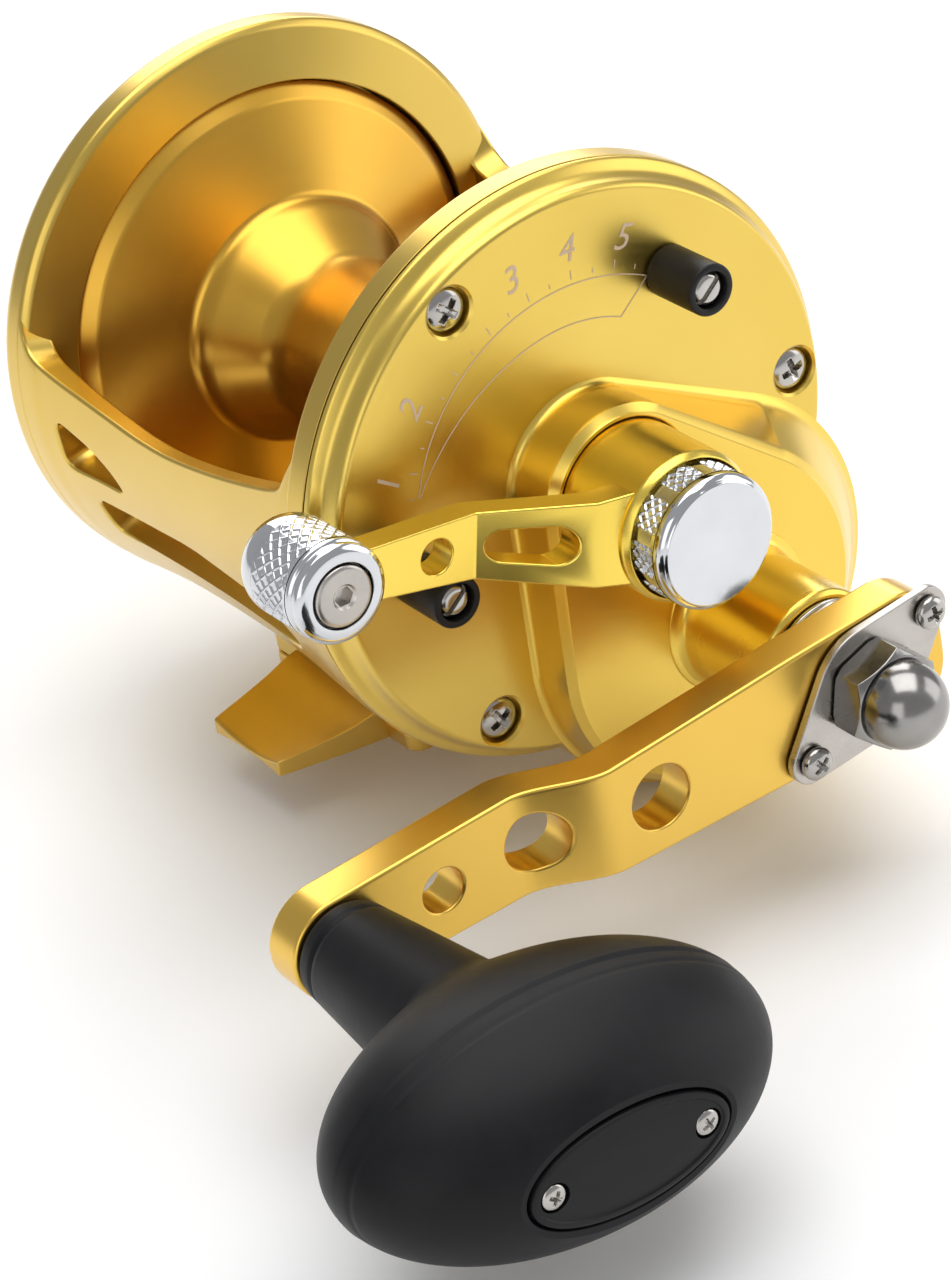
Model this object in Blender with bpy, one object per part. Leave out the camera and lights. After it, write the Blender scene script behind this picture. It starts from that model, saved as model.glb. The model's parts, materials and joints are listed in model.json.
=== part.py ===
"""A lever-drag trolling reel as separate solids, each on its own joint axis.

World frame: X runs along the spool axis towards the handle side, Y points forward (away from
the angler), Z up. The origin is the centre of the flat seat under the reel foot.
Sizes in this script are in millimetres and degrees; meshes are scaled to metres when built.
Angles around an X axis are measured from +Y towards +Z.
"""
import bpy
import bmesh
from math import acos, atan2, cos, degrees, hypot, pi, radians, sin, sqrt, tan
from mathutils import Matrix, Vector

MM = 0.001
GAP = 0.3                       # clearance between pieces that touch
FINE, MEDIUM, SMALL = 32, 16, 8    # facets of large, middling and small rounds

# ---------------------------------------------------------------- driving dimensions
# frame: two rings joined by a scooped wall that runs under the spool
AXIS_Z = 45.6                   # spool axis above the foot seat
FRAME_R = 42.0                  # outer radius of both frame rings
BORE_R = 33.6                   # bore of the rings, around the spool flanges
LEFT_FACE_X = -43.6             # outside of the left side wall
LEFT_EDGE_X = -39.2
LEFT_RING_X = -34.9             # spool side of the left ring
RIGHT_RING_X = 32.0             # spool side of the right ring
WALL_INNER_R = 37.2
WAIST_R = 40.2                  # outer radius of the wall, midway
WALL_START = 158.0              # the wall runs from here, under the spool, to the mirrored angle
# edge of the line window and lightening holes in the rear wall, as (x, angle) on the wall
WALL_SCOOP = ((-37.5, 163.0), (-34.7, 163.6), (-34.0, 165.8), (-31.9, 168.6), (-23.4, 171.4), (-14.5, 173.0),
              (-4.0, 173.9), (6.0, 172.8), (16.0, 170.3), (29.5, 165.4), (30.9, 163.8), (31.6, 161.0),
              (34.8, 159.6))
CORNER_HOLE = ((-28.6, 179.5), (-28.6, 190.5), (-14.5, 190.5), (-16.5, 186.5), (-21.0, 182.8))
LONG_SLOT = ((-24.5, 197.0), (-24.5, 207.0), (22.0, 207.0), (25.0, 202.0), (20.0, 197.0), (0.0, 195.5))

# side plate: round cover with a raised gear housing and the handle-shaft tower
SEAM_X = 36.9                   # frame meets side plate
PLATE_X = 41.3                  # flat face of the side plate
PLATE_FLAT_R = 39.2
PLATE_SCREW_PITCH_R = 35.4
PLATE_SCREW_ANGLES = (1.0, 119.5, 238.0)
PLATE_SCREW_HEAD_R = 3.1
HOUSING_X = 49.8                # top of the raised gear housing
HUB_RING_R = 12.4               # raised ring of the housing around the lever hub
LOBE_R = 28.3                   # gear lobe of frame and side plate
LOBE_TOP_Y = 11.4               # the housing's roof leans towards the spool axis
LOBE_TOP_Z = AXIS_Z - 24.0
LOBE_TOP_R = 24.1
TOWER_X = 67.7                  # end of the tower
TOWER_R = 9.6

# gears
MODULE = 0.8
MAIN_TEETH = 60
PINION_TEETH = 13
PRESSURE_ANGLE = radians(20.0)
BACKLASH = 0.16
CENTRES = MODULE * (MAIN_TEETH + PINION_TEETH) / 2
SHAFT_DIRECTION = -58.5         # direction from the spool axis to the handle axis
HANDLE_Y = CENTRES * cos(radians(SHAFT_DIRECTION))
HANDLE_Z = AXIS_Z + CENTRES * sin(radians(SHAFT_DIRECTION))
GEAR_POCKET_R = 25.5
GEAR_POCKET_X = 42.4            # floor of the pocket for the main gear
RATCHET_TEETH = 10
RATCHET_TIP_R = 8.4
DOG_PIN_R = 1.2

# drag lever, its stops and the preset knob
SHAFT_R = 2.5                   # spool shaft
LEVER_ANGLE = 169.5             # lever at its free stop
LEVER_FACE_X = 53.0             # flat outer part of the lever
LEVER_THICKNESS = 4.4
LEVER_SLOPE_FAR = 26.4          # the sloping part ends this far from the spool axis
LEVER_SLOPE_NEAR = 13.4
LEVER_SLOPE_RISE = 8.4
LEVER_HALF_NEAR = 5.9
LEVER_HALF_STEP = 4.6
LEVER_HALF_TIP = 3.6
LEVER_HUB_R = 10.4
LEVER_HUB_X = (48.0, 63.4)
LEVER_TIP_R = 48.9              # lever grip axis from the spool axis
LEVER_GRIP_R = 6.8
LEVER_GRIP_TAIL_X = 39.2
STOP_PITCH_R = 28.7
STOP_SLEEVE_R = 3.6
STOP_SLEEVE_X = 50.9
FREE_STOP_ANGLE = 186.5
FULL_STOP_ANGLE = 55.0
KNOB_R = 9.3
KNOB_FACE_X = 69.4

# crank arm, lock plate and grip
ARM_ANGLE = 182.9
ARM_LENGTH = 79.8
ARM_THICKNESS = 6.0
ARM_BACK_X = 70.1
ARM_STEP = 5.5                  # outer end of the arm lies this much nearer the reel
ARM_TIP_X = ARM_BACK_X - ARM_STEP + ARM_THICKNESS
ARM_BEND = (40.0, 53.0)         # the step lies between these distances from the handle axis
ARM_HEEL = 13.9
ARM_HALF_HUB = 9.5
ARM_HALF_BEND = 7.8
ARM_HALF_TIP = 7.2
ARM_HOLES = ((33.6, 4.5), (50.2, 4.2), (64.2, 3.1))
LOCK_ANGLE = 33.0
LOCK_X = ARM_BACK_X + ARM_THICKNESS + GAP
LOCK_THICKNESS = 1.3
LOCK_SCREW_R = 12.4
NUT_X = LOCK_X + LOCK_THICKNESS + GAP
GRIP_X = 113.5                  # middle of the grip's oval body
GRIP_HALF = (18.5, 30.0, 16.0)
GRIP_END_X = 129.4
GRIP_TILT = -4.0
CAP_HALF = (14.2, 6.8)
CAP_SCREW_R = 10.9

# foot and click button
FOOT_HALF_X = 18.2
FOOT_HALF_Y = 19.5
FOOT_PLATE_Z = 2.8
FOOT_SCREWS = [(x, y) for x in (-12.0, 12.0) for y in (-14.0, 14.0)]
BLADE_REACH = 36.0
CLICK_ANGLE = 200.0
CLICK_REST_R = 15.4


# ---------------------------------------------------------------- axes
def polar(radius, angle):
    return radius * cos(radians(angle)), radius * sin(radians(angle))


def on_plate(radius, angle, axis=(0.0, 0.0, AXIS_Z)):
    """A point at a distance and angle from an X axis."""
    y, z = polar(radius, angle)
    return (0.0, axis[1] + y, axis[2] + z)


SPOOL_AXIS = (0.0, 0.0, AXIS_Z)
HANDLE_AXIS = (0.0, HANDLE_Y, HANDLE_Z)
HANDLE_TIP = on_plate(ARM_LENGTH, ARM_ANGLE, HANDLE_AXIS)
DOG_AXIS = on_plate(12.6, 150.0, HANDLE_AXIS)
LOCK_SCREWS = [on_plate(LOCK_SCREW_R, LOCK_ANGLE + turn, HANDLE_AXIS) for turn in (0.0, 180.0)]
CAP_SCREWS = [on_plate(CAP_SCREW_R, GRIP_TILT + turn, HANDLE_TIP) for turn in (0.0, 180.0)]


# ---------------------------------------------------------------- scene and materials
def clear_scene():
    for item in list(bpy.data.objects):
        bpy.data.objects.remove(item, do_unlink=True)


def material(name, colour, metallic, roughness):
    found = bpy.data.materials.get(name)
    if found:
        return found
    made = bpy.data.materials.new(name)
    made.use_nodes = True
    shader = made.node_tree.nodes["Principled BSDF"]
    shader.inputs["Base Color"].default_value = (*colour, 1.0)
    shader.inputs["Metallic"].default_value = metallic
    shader.inputs["Roughness"].default_value = roughness
    return made


def gold():
    return material("gold_anodised", (0.85, 0.55, 0.12), 1.0, 0.32)


def chrome():
    return material("chrome_plate", (0.80, 0.81, 0.83), 1.0, 0.10)


def steel():
    return material("stainless_steel", (0.62, 0.60, 0.57), 1.0, 0.28)


def gear_steel():
    return material("gear_steel", (0.50, 0.49, 0.47), 1.0, 0.35)


def bronze():
    return material("bronze", (0.55, 0.36, 0.16), 1.0, 0.40)


def rubber():
    return material("black_rubber", (0.020, 0.020, 0.024), 0.0, 0.55)


def plastic():
    return material("black_plastic", (0.030, 0.028, 0.030), 0.0, 0.40)


def carbon():
    return material("drag_carbon", (0.045, 0.045, 0.048), 0.0, 0.60)


# ---------------------------------------------------------------- mesh helpers
def revolved(profile, segments, axis=SPOOL_AXIS, start=0.0, sweep=360.0):
    """Turn a closed (x, radius) profile about an X axis; a part turn gets end caps."""
    bm = bmesh.new()
    full = sweep >= 360.0
    count = segments if full else segments + 1
    rings = []
    for step in range(count):
        y, z = polar(1.0, start + sweep * step / segments)
        ring = []
        for index, (x, radius) in enumerate(profile):
            if radius == 0.0 and rings:
                ring.append(rings[0][index])
            else:
                ring.append(bm.verts.new((x, axis[1] + radius * y, axis[2] + radius * z)))
        rings.append(ring)
    points = len(profile)
    for step in range(segments):
        near = rings[step]
        far = rings[(step + 1) % count]
        for index in range(points):
            after = (index + 1) % points
            corners = []
            for corner in (near[index], near[after], far[after], far[index]):
                if corner not in corners:
                    corners.append(corner)
            if len(corners) > 2:
                bm.faces.new(corners)
    if not full:
        bm.faces.new(rings[0])
        bm.faces.new(rings[-1])
    return bm


def skinned(rings):
    """A closed shape over rings of (x, y, z) points, all of equal length."""
    bm = bmesh.new()
    rows = [[bm.verts.new(point) for point in points] for points in rings]
    for near, far in zip(rows, rows[1:]):
        for index in range(len(near)):
            after = (index + 1) % len(near)
            bm.faces.new((near[index], near[after], far[after], far[index]))
    bm.faces.new(rows[0])
    bm.faces.new(rows[-1])
    return bm


def lofted(outlines, stations):
    """Join (y, z) outlines of equal length, each at its own x."""
    return skinned([[(x, y, z) for y, z in outline] for outline, x in zip(outlines, stations)])


def upright(outline, low, high):
    """Extrude an (x, y) outline along Z."""
    return skinned([[(x, y, z) for x, y in outline] for z in (low, high)])


def box(low, high):
    outline = [(low[0], low[1]), (high[0], low[1]), (high[0], high[1]), (low[0], high[1])]
    return upright(outline, low[2], high[2])


def circle(centre, radius, count, start=0.0, sweep=360.0):
    """Points of a circle, or of an arc with both its ends."""
    steps = count if sweep >= 360.0 else count - 1
    points = []
    for index in range(count):
        y, z = polar(radius, start + sweep * index / steps)
        points.append((centre[0] + y, centre[1] + z))
    return points


def two_circle_hull(first, first_r, second, second_r, first_count, second_count):
    """Outline around two circles, joined by their outer tangents."""
    direction = degrees(atan2(second[1] - first[1], second[0] - first[0]))
    spread = degrees(acos((first_r - second_r) / hypot(second[0] - first[0], second[1] - first[1])))
    near = circle(first, first_r, first_count, direction + spread, 360.0 - 2 * spread)
    far = circle(second, second_r, second_count, direction - spread, 2 * spread)
    return near + far


def rounded_rectangle(half_x, half_y, radius, steps):
    points = []
    corners = ((1, 1, 0.0), (-1, 1, 90.0), (-1, -1, 180.0), (1, -1, 270.0))
    for sign_x, sign_y, start in corners:
        centre = (sign_x * (half_x - radius), sign_y * (half_y - radius))
        points += circle(centre, radius, steps, start, 90.0)
    return points


def cylinder(x_start, x_end, radius, segments, axis=SPOOL_AXIS):
    return revolved([(x_start, 0.0), (x_start, radius), (x_end, radius), (x_end, 0.0)], segments, axis)


def ring(x_start, x_end, inner, outer, segments, axis=SPOOL_AXIS, chamfer=0.0):
    profile = [(x_start, inner), (x_start, outer - chamfer)]
    if chamfer:
        profile.append((x_start + chamfer, outer))
        profile.append((x_end - chamfer, outer))
    profile += [(x_end, outer - chamfer), (x_end, inner)]
    return revolved(profile, segments, axis)


def closed(bm):
    bmesh.ops.recalc_face_normals(bm, faces=bm.faces)
    crowded = [face for face in bm.faces if len(face.verts) > 4]
    bmesh.ops.triangulate(bm, faces=crowded)


def temporary(bm):
    closed(bm)
    mesh = bpy.data.meshes.new("tool")
    bm.to_mesh(mesh)
    bm.free()
    item = bpy.data.objects.new("tool", mesh)
    bpy.context.collection.objects.link(item)
    return item


def combined(base, tool, operation):
    """Boolean of two bmeshes; both are used up and a new bmesh comes back."""
    base_item = temporary(base)
    tool_item = temporary(tool)
    modifier = base_item.modifiers.new("combine", "BOOLEAN")
    modifier.operation = operation
    modifier.object = tool_item
    modifier.solver = "EXACT"
    bpy.context.view_layer.update()
    evaluated = base_item.evaluated_get(bpy.context.evaluated_depsgraph_get())
    result = bmesh.new()
    result.from_mesh(evaluated.to_mesh())
    evaluated.to_mesh_clear()
    for item in (base_item, tool_item):
        mesh = item.data
        bpy.data.objects.remove(item, do_unlink=True)
        bpy.data.meshes.remove(mesh)
    bmesh.ops.remove_doubles(result, verts=result.verts, dist=0.002)
    return result


def joined(base, *tools):
    for tool in tools:
        base = combined(base, tool, "UNION")
    return base


def cut(base, *tools):
    for tool in tools:
        base = combined(base, tool, "DIFFERENCE")
    return base


def piece(name, bm, look, origin=(0.0, 0.0, 0.0), smooth=35.0):
    """Turn a bmesh in millimetres into a named object whose origin is on its joint axis."""
    closed(bm)
    bmesh.ops.translate(bm, verts=bm.verts, vec=-Vector(origin))
    bmesh.ops.scale(bm, verts=bm.verts, vec=(MM, MM, MM))
    mesh = bpy.data.meshes.new(name)
    bm.to_mesh(mesh)
    bm.free()
    mesh.materials.append(look)
    mesh.shade_smooth()
    mesh.set_sharp_from_angle(angle=radians(smooth))
    item = bpy.data.objects.new(name, mesh)
    item.location = Vector(origin) * MM
    bpy.context.collection.objects.link(item)
    return item


def turned(bm, angle, axis):
    """Rotate a bmesh about an X axis."""
    bmesh.ops.rotate(bm, verts=bm.verts, cent=axis, matrix=Matrix.Rotation(radians(angle), 3, "X"))
    return bm


# ---------------------------------------------------------------- frame and side plate
def surface_hole(outline):
    """A cutter through the frame wall; the outline is (x, angle) on the wall."""
    radii = (WALL_INNER_R - 4.0, FRAME_R + 4.0)
    return skinned([[(x, *on_plate(radius, angle)[1:]) for x, angle in outline] for radius in radii])


def left_side():
    profile = [
        (-38.6, 2.9), (LEFT_FACE_X, 2.9), (LEFT_FACE_X - 0.9, 2.9), (LEFT_FACE_X - 0.9, 8.3),
        (LEFT_FACE_X - 3.0, 8.3), (LEFT_FACE_X - 3.0, 11.0), (LEFT_FACE_X - 2.2, 12.0),
        (LEFT_FACE_X, 12.6), (LEFT_FACE_X, 38.4), (LEFT_FACE_X + 1.2, 39.8),
        (LEFT_EDGE_X - 1.0, 41.4), (LEFT_EDGE_X, FRAME_R), (LEFT_RING_X - 0.8, FRAME_R),
        (LEFT_RING_X, 40.95), (LEFT_RING_X + 1.8, BORE_R), (-38.6, BORE_R),
    ]
    return revolved(profile, FINE)


def right_ring():
    profile = [
        (30.9, BORE_R), (RIGHT_RING_X, 40.9), (RIGHT_RING_X + 0.8, FRAME_R),
        (SEAM_X - GAP, FRAME_R), (SEAM_X - GAP, BORE_R),
    ]
    return revolved(profile, FINE)


def frame_wall():
    profile = [
        (LEFT_RING_X - 1.6, WALL_INNER_R), (LEFT_RING_X - 1.6, FRAME_R - 0.25), (-30.0, 41.4),
        (-18.0, WAIST_R + 0.3), (0.0, WAIST_R), (16.0, WAIST_R + 0.3), (27.0, 41.4),
        (RIGHT_RING_X + 1.8, FRAME_R - 0.25), (RIGHT_RING_X + 1.8, WALL_INNER_R),
    ]
    return revolved(profile, 24, start=WALL_START, sweep=360.0 - 2 * (WALL_START - 90.0))


def pierced_wall():
    """The wall with its scooped upper edges and lightening holes, alike at the rear and the front."""
    above = WALL_START - 6.0
    scoop = ((WALL_SCOOP[0][0], above), *WALL_SCOOP, (WALL_SCOOP[-1][0], above))
    wall = frame_wall()
    for outline in (scoop, CORNER_HOLE, LONG_SLOT):
        mirrored = [(x, 540.0 - angle) for x, angle in outline]
        wall = cut(wall, surface_hole(outline), surface_hole(mirrored))
    return wall


def pedestal():
    block = upright(rounded_rectangle(FOOT_HALF_X, FOOT_HALF_Y, 2.5, 4), FOOT_PLATE_Z + GAP, 14.0)
    tunnel = cylinder(-FOOT_HALF_X - 1.0, FOOT_HALF_X + 1.0, WALL_INNER_R + 0.4, FINE)
    return cut(block, tunnel)


def click_slot():
    """Cutter for the slot in which the click button slides."""
    slot = lofted([circle((0.0, 0.0), 2.1, MEDIUM)] * 2, (LEFT_FACE_X - 2.0, -37.0))
    for vert in slot.verts:
        vert.co.y -= 26.0 if vert.co.y < 0.0 else 17.0
    turned(slot, CLICK_ANGLE - 180.0, (0.0, 0.0, 0.0))
    bmesh.ops.translate(slot, verts=slot.verts, vec=SPOOL_AXIS)
    return slot


def frame():
    lobe_x = (RIGHT_RING_X + 0.2, SEAM_X - GAP - 0.02)
    lobe = lofted([circle((HANDLE_Y, HANDLE_Z), LOBE_R - 0.05, FINE)] * 2, lobe_x)
    lobe = cut(lobe, cylinder(RIGHT_RING_X - 4.0, SEAM_X + 1.0, BORE_R + 1.5, FINE))
    body = joined(left_side(), pierced_wall(), right_ring(), pedestal(), lobe)
    body = cut(body, cylinder(34.4, SEAM_X + 1.0, GEAR_POCKET_R, FINE, HANDLE_AXIS), click_slot())
    for angle in PLATE_SCREW_ANGLES:
        hole = cylinder(SEAM_X - 4.0, SEAM_X + 1.0, 1.7, SMALL, on_plate(PLATE_SCREW_PITCH_R, angle))
        body = cut(body, hole)
    for x, y in FOOT_SCREWS:
        body = cut(body, upright(circle((x, y), 1.7, SMALL), 1.0, 9.0))
    piece("frame", body, gold())


def side_plate():
    disc = revolved([
        (SEAM_X, 0.0), (SEAM_X, FRAME_R), (37.4, 41.8), (37.9, 41.3), (38.4, 40.5), (39.2, 39.9),
        (40.6, 39.6), (PLATE_X, PLATE_FLAT_R), (PLATE_X, 0.0)], FINE)
    lobe_centre = (HANDLE_Y, HANDLE_Z)
    lobe = lofted([circle(lobe_centre, LOBE_R, FINE)] * 2, (SEAM_X + 0.01, PLATE_X - 0.05))
    hub_centre = (0.0, AXIS_Z)
    bottom = two_circle_hull(hub_centre, HUB_RING_R, lobe_centre, LOBE_R - 0.1, 7, 18)
    top_centre = (LOBE_TOP_Y, LOBE_TOP_Z)
    top = two_circle_hull(hub_centre, HUB_RING_R - 0.1, top_centre, LOBE_TOP_R, 7, 18)
    bevel = two_circle_hull(hub_centre, HUB_RING_R - 1.2, top_centre, LOBE_TOP_R - 1.1, 7, 18)
    housing = lofted([bottom, top, bevel], (PLATE_X - 1.0, HOUSING_X - 0.9, HOUSING_X))
    tower = revolved([
        (HOUSING_X - 1.5, 0.0), (HOUSING_X - 1.5, 10.9), (HOUSING_X + 0.3, 10.9), (HOUSING_X + 0.9, 10.0),
        (HOUSING_X + 1.8, TOWER_R), (TOWER_X - 0.7, TOWER_R), (TOWER_X, TOWER_R - 0.7), (TOWER_X, 0.0)],
        MEDIUM, HANDLE_AXIS)
    body = joined(disc, lobe, housing, tower)
    body = cut(
        body,
        cylinder(SEAM_X - 1.0, 38.9, 31.0, FINE),
        cylinder(SEAM_X - 1.0, GEAR_POCKET_X, GEAR_POCKET_R, FINE, HANDLE_AXIS),
        cylinder(GEAR_POCKET_X - 1.0, 46.6, 15.5, MEDIUM, HANDLE_AXIS),
        cylinder(46.0, TOWER_X + 1.0, 7.3, MEDIUM, HANDLE_AXIS),
        cylinder(SEAM_X - 1.0, 46.0, 8.3, MEDIUM),
        cylinder(45.2, HOUSING_X + 1.0, 11.0, MEDIUM))
    for angle in PLATE_SCREW_ANGLES:
        axis = on_plate(PLATE_SCREW_PITCH_R, angle)
        body = cut(body, cylinder(SEAM_X - 1.0, PLATE_X + 1.0, 1.9, SMALL, axis))
        body = cut(body, cylinder(PLATE_X - 2.2, PLATE_X + 1.0, PLATE_SCREW_HEAD_R + GAP, SMALL, axis))
    for angle in (FREE_STOP_ANGLE, FULL_STOP_ANGLE):
        body = cut(body, cylinder(38.0, PLATE_X + 1.0, 1.5, SMALL, on_plate(STOP_PITCH_R, angle)))
    body = cut(body, cylinder(GEAR_POCKET_X - 1.0, 45.5, DOG_PIN_R + GAP, SMALL, DOG_AXIS))
    piece("side_plate", body, gold())


def pan_screw(name, axis, x_under, head_r, head_height, shank_r, shank_length, recess="cross", facing=1.0):
    """A screw along X; facing is +1 when its head looks towards +X."""
    profile = [
        (-shank_length, 0.0), (-shank_length, shank_r * 0.7), (-shank_length + 0.6, shank_r),
        (0.0, shank_r), (0.0, head_r), (head_height * 0.45, head_r), (head_height * 0.85, head_r * 0.8),
        (head_height, head_r * 0.45), (head_height, 0.0)]
    bm = revolved(profile, SMALL, (0.0, 0.0, 0.0))
    arm = head_r * 0.62
    blade = head_r * 0.16
    depth = head_height * 0.45
    if recess == "cross":
        bm = cut(bm, box((depth, -arm, -blade), (head_height + 1.0, arm, blade)),
                 box((depth, -blade, -arm), (head_height + 1.0, blade, arm)))
    else:
        bm = cut(bm, box((depth, -head_r - 1.0, -blade), (head_height + 1.0, head_r + 1.0, blade)))
    place_screw(bm, axis, x_under, facing)
    piece(name, bm, steel(), axis)


def place_screw(bm, axis, x_under, facing):
    if facing < 0.0:
        bmesh.ops.rotate(bm, verts=bm.verts, cent=(0, 0, 0), matrix=Matrix.Rotation(pi, 3, "Z"))
    bmesh.ops.translate(bm, verts=bm.verts, vec=(x_under, axis[1], axis[2]))


def side_plate_fasteners():
    for index, angle in enumerate(PLATE_SCREW_ANGLES, 1):
        axis = on_plate(PLATE_SCREW_PITCH_R, angle)
        pan_screw(f"side_plate_screw_{index}", axis, PLATE_X - 2.2 + GAP, PLATE_SCREW_HEAD_R, 1.7, 1.4, 4.6)


def lever_stops():
    for label, angle in (("free", FREE_STOP_ANGLE), ("full", FULL_STOP_ANGLE)):
        axis = on_plate(STOP_PITCH_R, angle)
        sleeve = revolved([
            (PLATE_X + GAP, 2.6), (PLATE_X + GAP, STOP_SLEEVE_R - 0.3), (PLATE_X + GAP + 0.3, STOP_SLEEVE_R),
            (STOP_SLEEVE_X - 0.4, STOP_SLEEVE_R), (STOP_SLEEVE_X, STOP_SLEEVE_R - 0.4),
            (STOP_SLEEVE_X, 2.6)], MEDIUM, axis)
        piece(f"{label}_stop_sleeve", sleeve, rubber(), axis)
        pin = revolved([
            (38.6, 0.0), (38.6, 1.2), (PLATE_X + 0.5, 1.2), (PLATE_X + 0.5, 2.3),
            (STOP_SLEEVE_X - 1.0, 2.3), (STOP_SLEEVE_X - 0.4, 1.7), (STOP_SLEEVE_X - 0.4, 0.0)], SMALL, axis)
        slot = box((STOP_SLEEVE_X - 1.3, axis[1] - 3.0, axis[2] - 0.35),
                   (STOP_SLEEVE_X + 1.0, axis[1] + 3.0, axis[2] + 0.35))
        turned(slot, 40.0, axis)
        piece(f"{label}_stop_screw", cut(pin, slot), steel(), axis)


def left_cap():
    bm = revolved([
        (LEFT_FACE_X - 1.2, 0.0), (LEFT_FACE_X - 1.2, 8.0), (LEFT_FACE_X - 3.0, 8.0),
        (LEFT_FACE_X - 3.6, 7.2), (LEFT_FACE_X - 3.6, 0.0)], MEDIUM)
    slot = box((LEFT_FACE_X - 4.6, -5.2, AXIS_Z - 0.8), (LEFT_FACE_X - 2.6, 5.2, AXIS_Z + 0.8))
    piece("left_bearing_cap", cut(bm, slot), gold())


# ---------------------------------------------------------------- foot
def blade(side):
    """One foot blade along Y; side is -1 for the rear blade and +1 for the front one."""
    stations = ((16.5, 13.0, 2.1, 5.3), (20.5, 12.6, 1.9, 5.0), (25.0, 11.2, 1.6, 3.8),
                (30.0, 9.7, 1.3, 3.1), (BLADE_REACH, 8.3, 0.9, 2.5))
    rings = []
    steps = 6
    for reach, half, rise, top in stations:
        under = []
        over = []
        for index in range(steps + 1):
            u = 2.0 * index / steps - 1.0
            under.append((half * u, rise * (1.0 - u * u)))
            over.append((half * u, top - 0.9 * (1.0 - abs(u) ** 2.5)))
        rings.append([(x, side * reach, z) for x, z in under + over[::-1]])
    return skinned(rings)


def reel_foot():
    body = upright(rounded_rectangle(FOOT_HALF_X, FOOT_HALF_Y, 2.5, 4), 0.0, FOOT_PLATE_Z)
    for side in (-1.0, 1.0):
        inside = FOOT_HALF_Y + GAP
        shaped = cut(blade(side), box((-20.0, -inside, FOOT_PLATE_Z - 0.4), (20.0, inside, 12.0)))
        shaped = cut(shaped, box((-20.0, -60.0, -9.0), (20.0, 60.0, 0.02)))
        body = joined(body, shaped)
    for x, y in FOOT_SCREWS:
        body = cut(body, upright(circle((x, y), 1.9, SMALL), -1.0, 5.0))
        body = cut(body, upright(circle((x, y), 3.3, SMALL), -1.0, 1.5))
    piece("reel_foot", body, gold())


def foot_screws():
    for index, (x, y) in enumerate(FOOT_SCREWS, 1):
        head = upright(circle((x, y), 3.0, SMALL), 0.2, 1.2)
        shank = upright(circle((x, y), 1.4, SMALL), 1.0, 8.4)
        body = joined(head, shank)
        for across in (True, False):
            half_x, half_y = (1.9, 0.45) if across else (0.45, 1.9)
            body = cut(body, box((x - half_x, y - half_y, -1.0), (x + half_x, y + half_y, 0.8)))
        piece(f"foot_screw_{index}", body, steel(), (x, y, 0.0))


# ---------------------------------------------------------------- spool and drag
def spool():
    profile = [
        (-35.9, 6.0), (-35.9, 31.8), (-35.3, 33.2), (-34.2, 33.2), (-33.1, 31.1),
        (-28.3, 19.6), (-26.6, 18.8), (-25.2, 17.8), (-17.8, 12.2), (-15.5, 11.6),
        (13.0, 11.6), (15.6, 12.6), (19.8, 18.4), (25.0, 26.0), (28.6, 31.6), (30.4, 33.2),
        (33.5, 33.2), (33.5, 29.4), (29.2, 29.4), (29.2, 8.0), (25.0, 8.0), (25.0, 3.2),
        (-31.0, 3.2), (-31.0, 6.0)]
    piece("spool", revolved(profile, FINE), gold(), SPOOL_AXIS)


def spool_bearings():
    piece("spool_bearing_left", ring(-35.0, -31.4, SHAFT_R + GAP, 5.7, MEDIUM), steel(), SPOOL_AXIS)
    piece("spool_bearing_right", ring(25.4, 28.2, SHAFT_R + GAP, 7.6, MEDIUM), steel(), SPOOL_AXIS)


def toothed(teeth, root_r, tip_r, x_start, x_end, bore_r, axis, lead=0.35, phase=0.0):
    """A wheel with simple saw or click teeth; lead moves the tip within its pitch."""
    outline = []
    pitch = 360.0 / teeth
    for index in range(teeth):
        angle = phase + index * pitch
        outline.append(polar(root_r, angle))
        outline.append(polar(tip_r, angle + lead * pitch))
    outline = [(axis[1] + y, axis[2] + z) for y, z in outline]
    blank = lofted([outline] * 2, (x_start, x_end))
    return cut(blank, cylinder(x_start - 1.0, x_end + 1.0, bore_r, MEDIUM, axis))


def click_gear():
    piece("click_gear", toothed(24, 10.6, 12.0, -37.6, -36.2, 6.0, SPOOL_AXIS, 0.5), gear_steel(), SPOOL_AXIS)


def drag_stack():
    piece("drag_washer", ring(29.5, 30.8, 12.0, 27.5, FINE), carbon(), SPOOL_AXIS)
    rotor = revolved([
        (31.4, SHAFT_R + GAP), (31.4, 28.0), (31.9, 28.6), (33.0, 28.6), (33.0, 9.0), (35.2, 8.0),
        (35.2, SHAFT_R + GAP)], FINE)
    piece("drag_rotor", rotor, steel(), SPOOL_AXIS)
    spring = revolved([
        (28.5, SHAFT_R + GAP), (29.1, 6.8), (29.7, 6.8), (29.1, SHAFT_R + GAP)], MEDIUM)
    piece("belleville_washer", spring, gear_steel(), SPOOL_AXIS)


def spool_shaft():
    profile = [
        (-42.9, 0.0), (-42.9, 1.9), (-42.3, SHAFT_R), (60.0, SHAFT_R), (60.6, 1.9), (60.6, 0.0)]
    piece("spool_shaft", revolved(profile, SMALL), steel(), SPOOL_AXIS)


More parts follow.
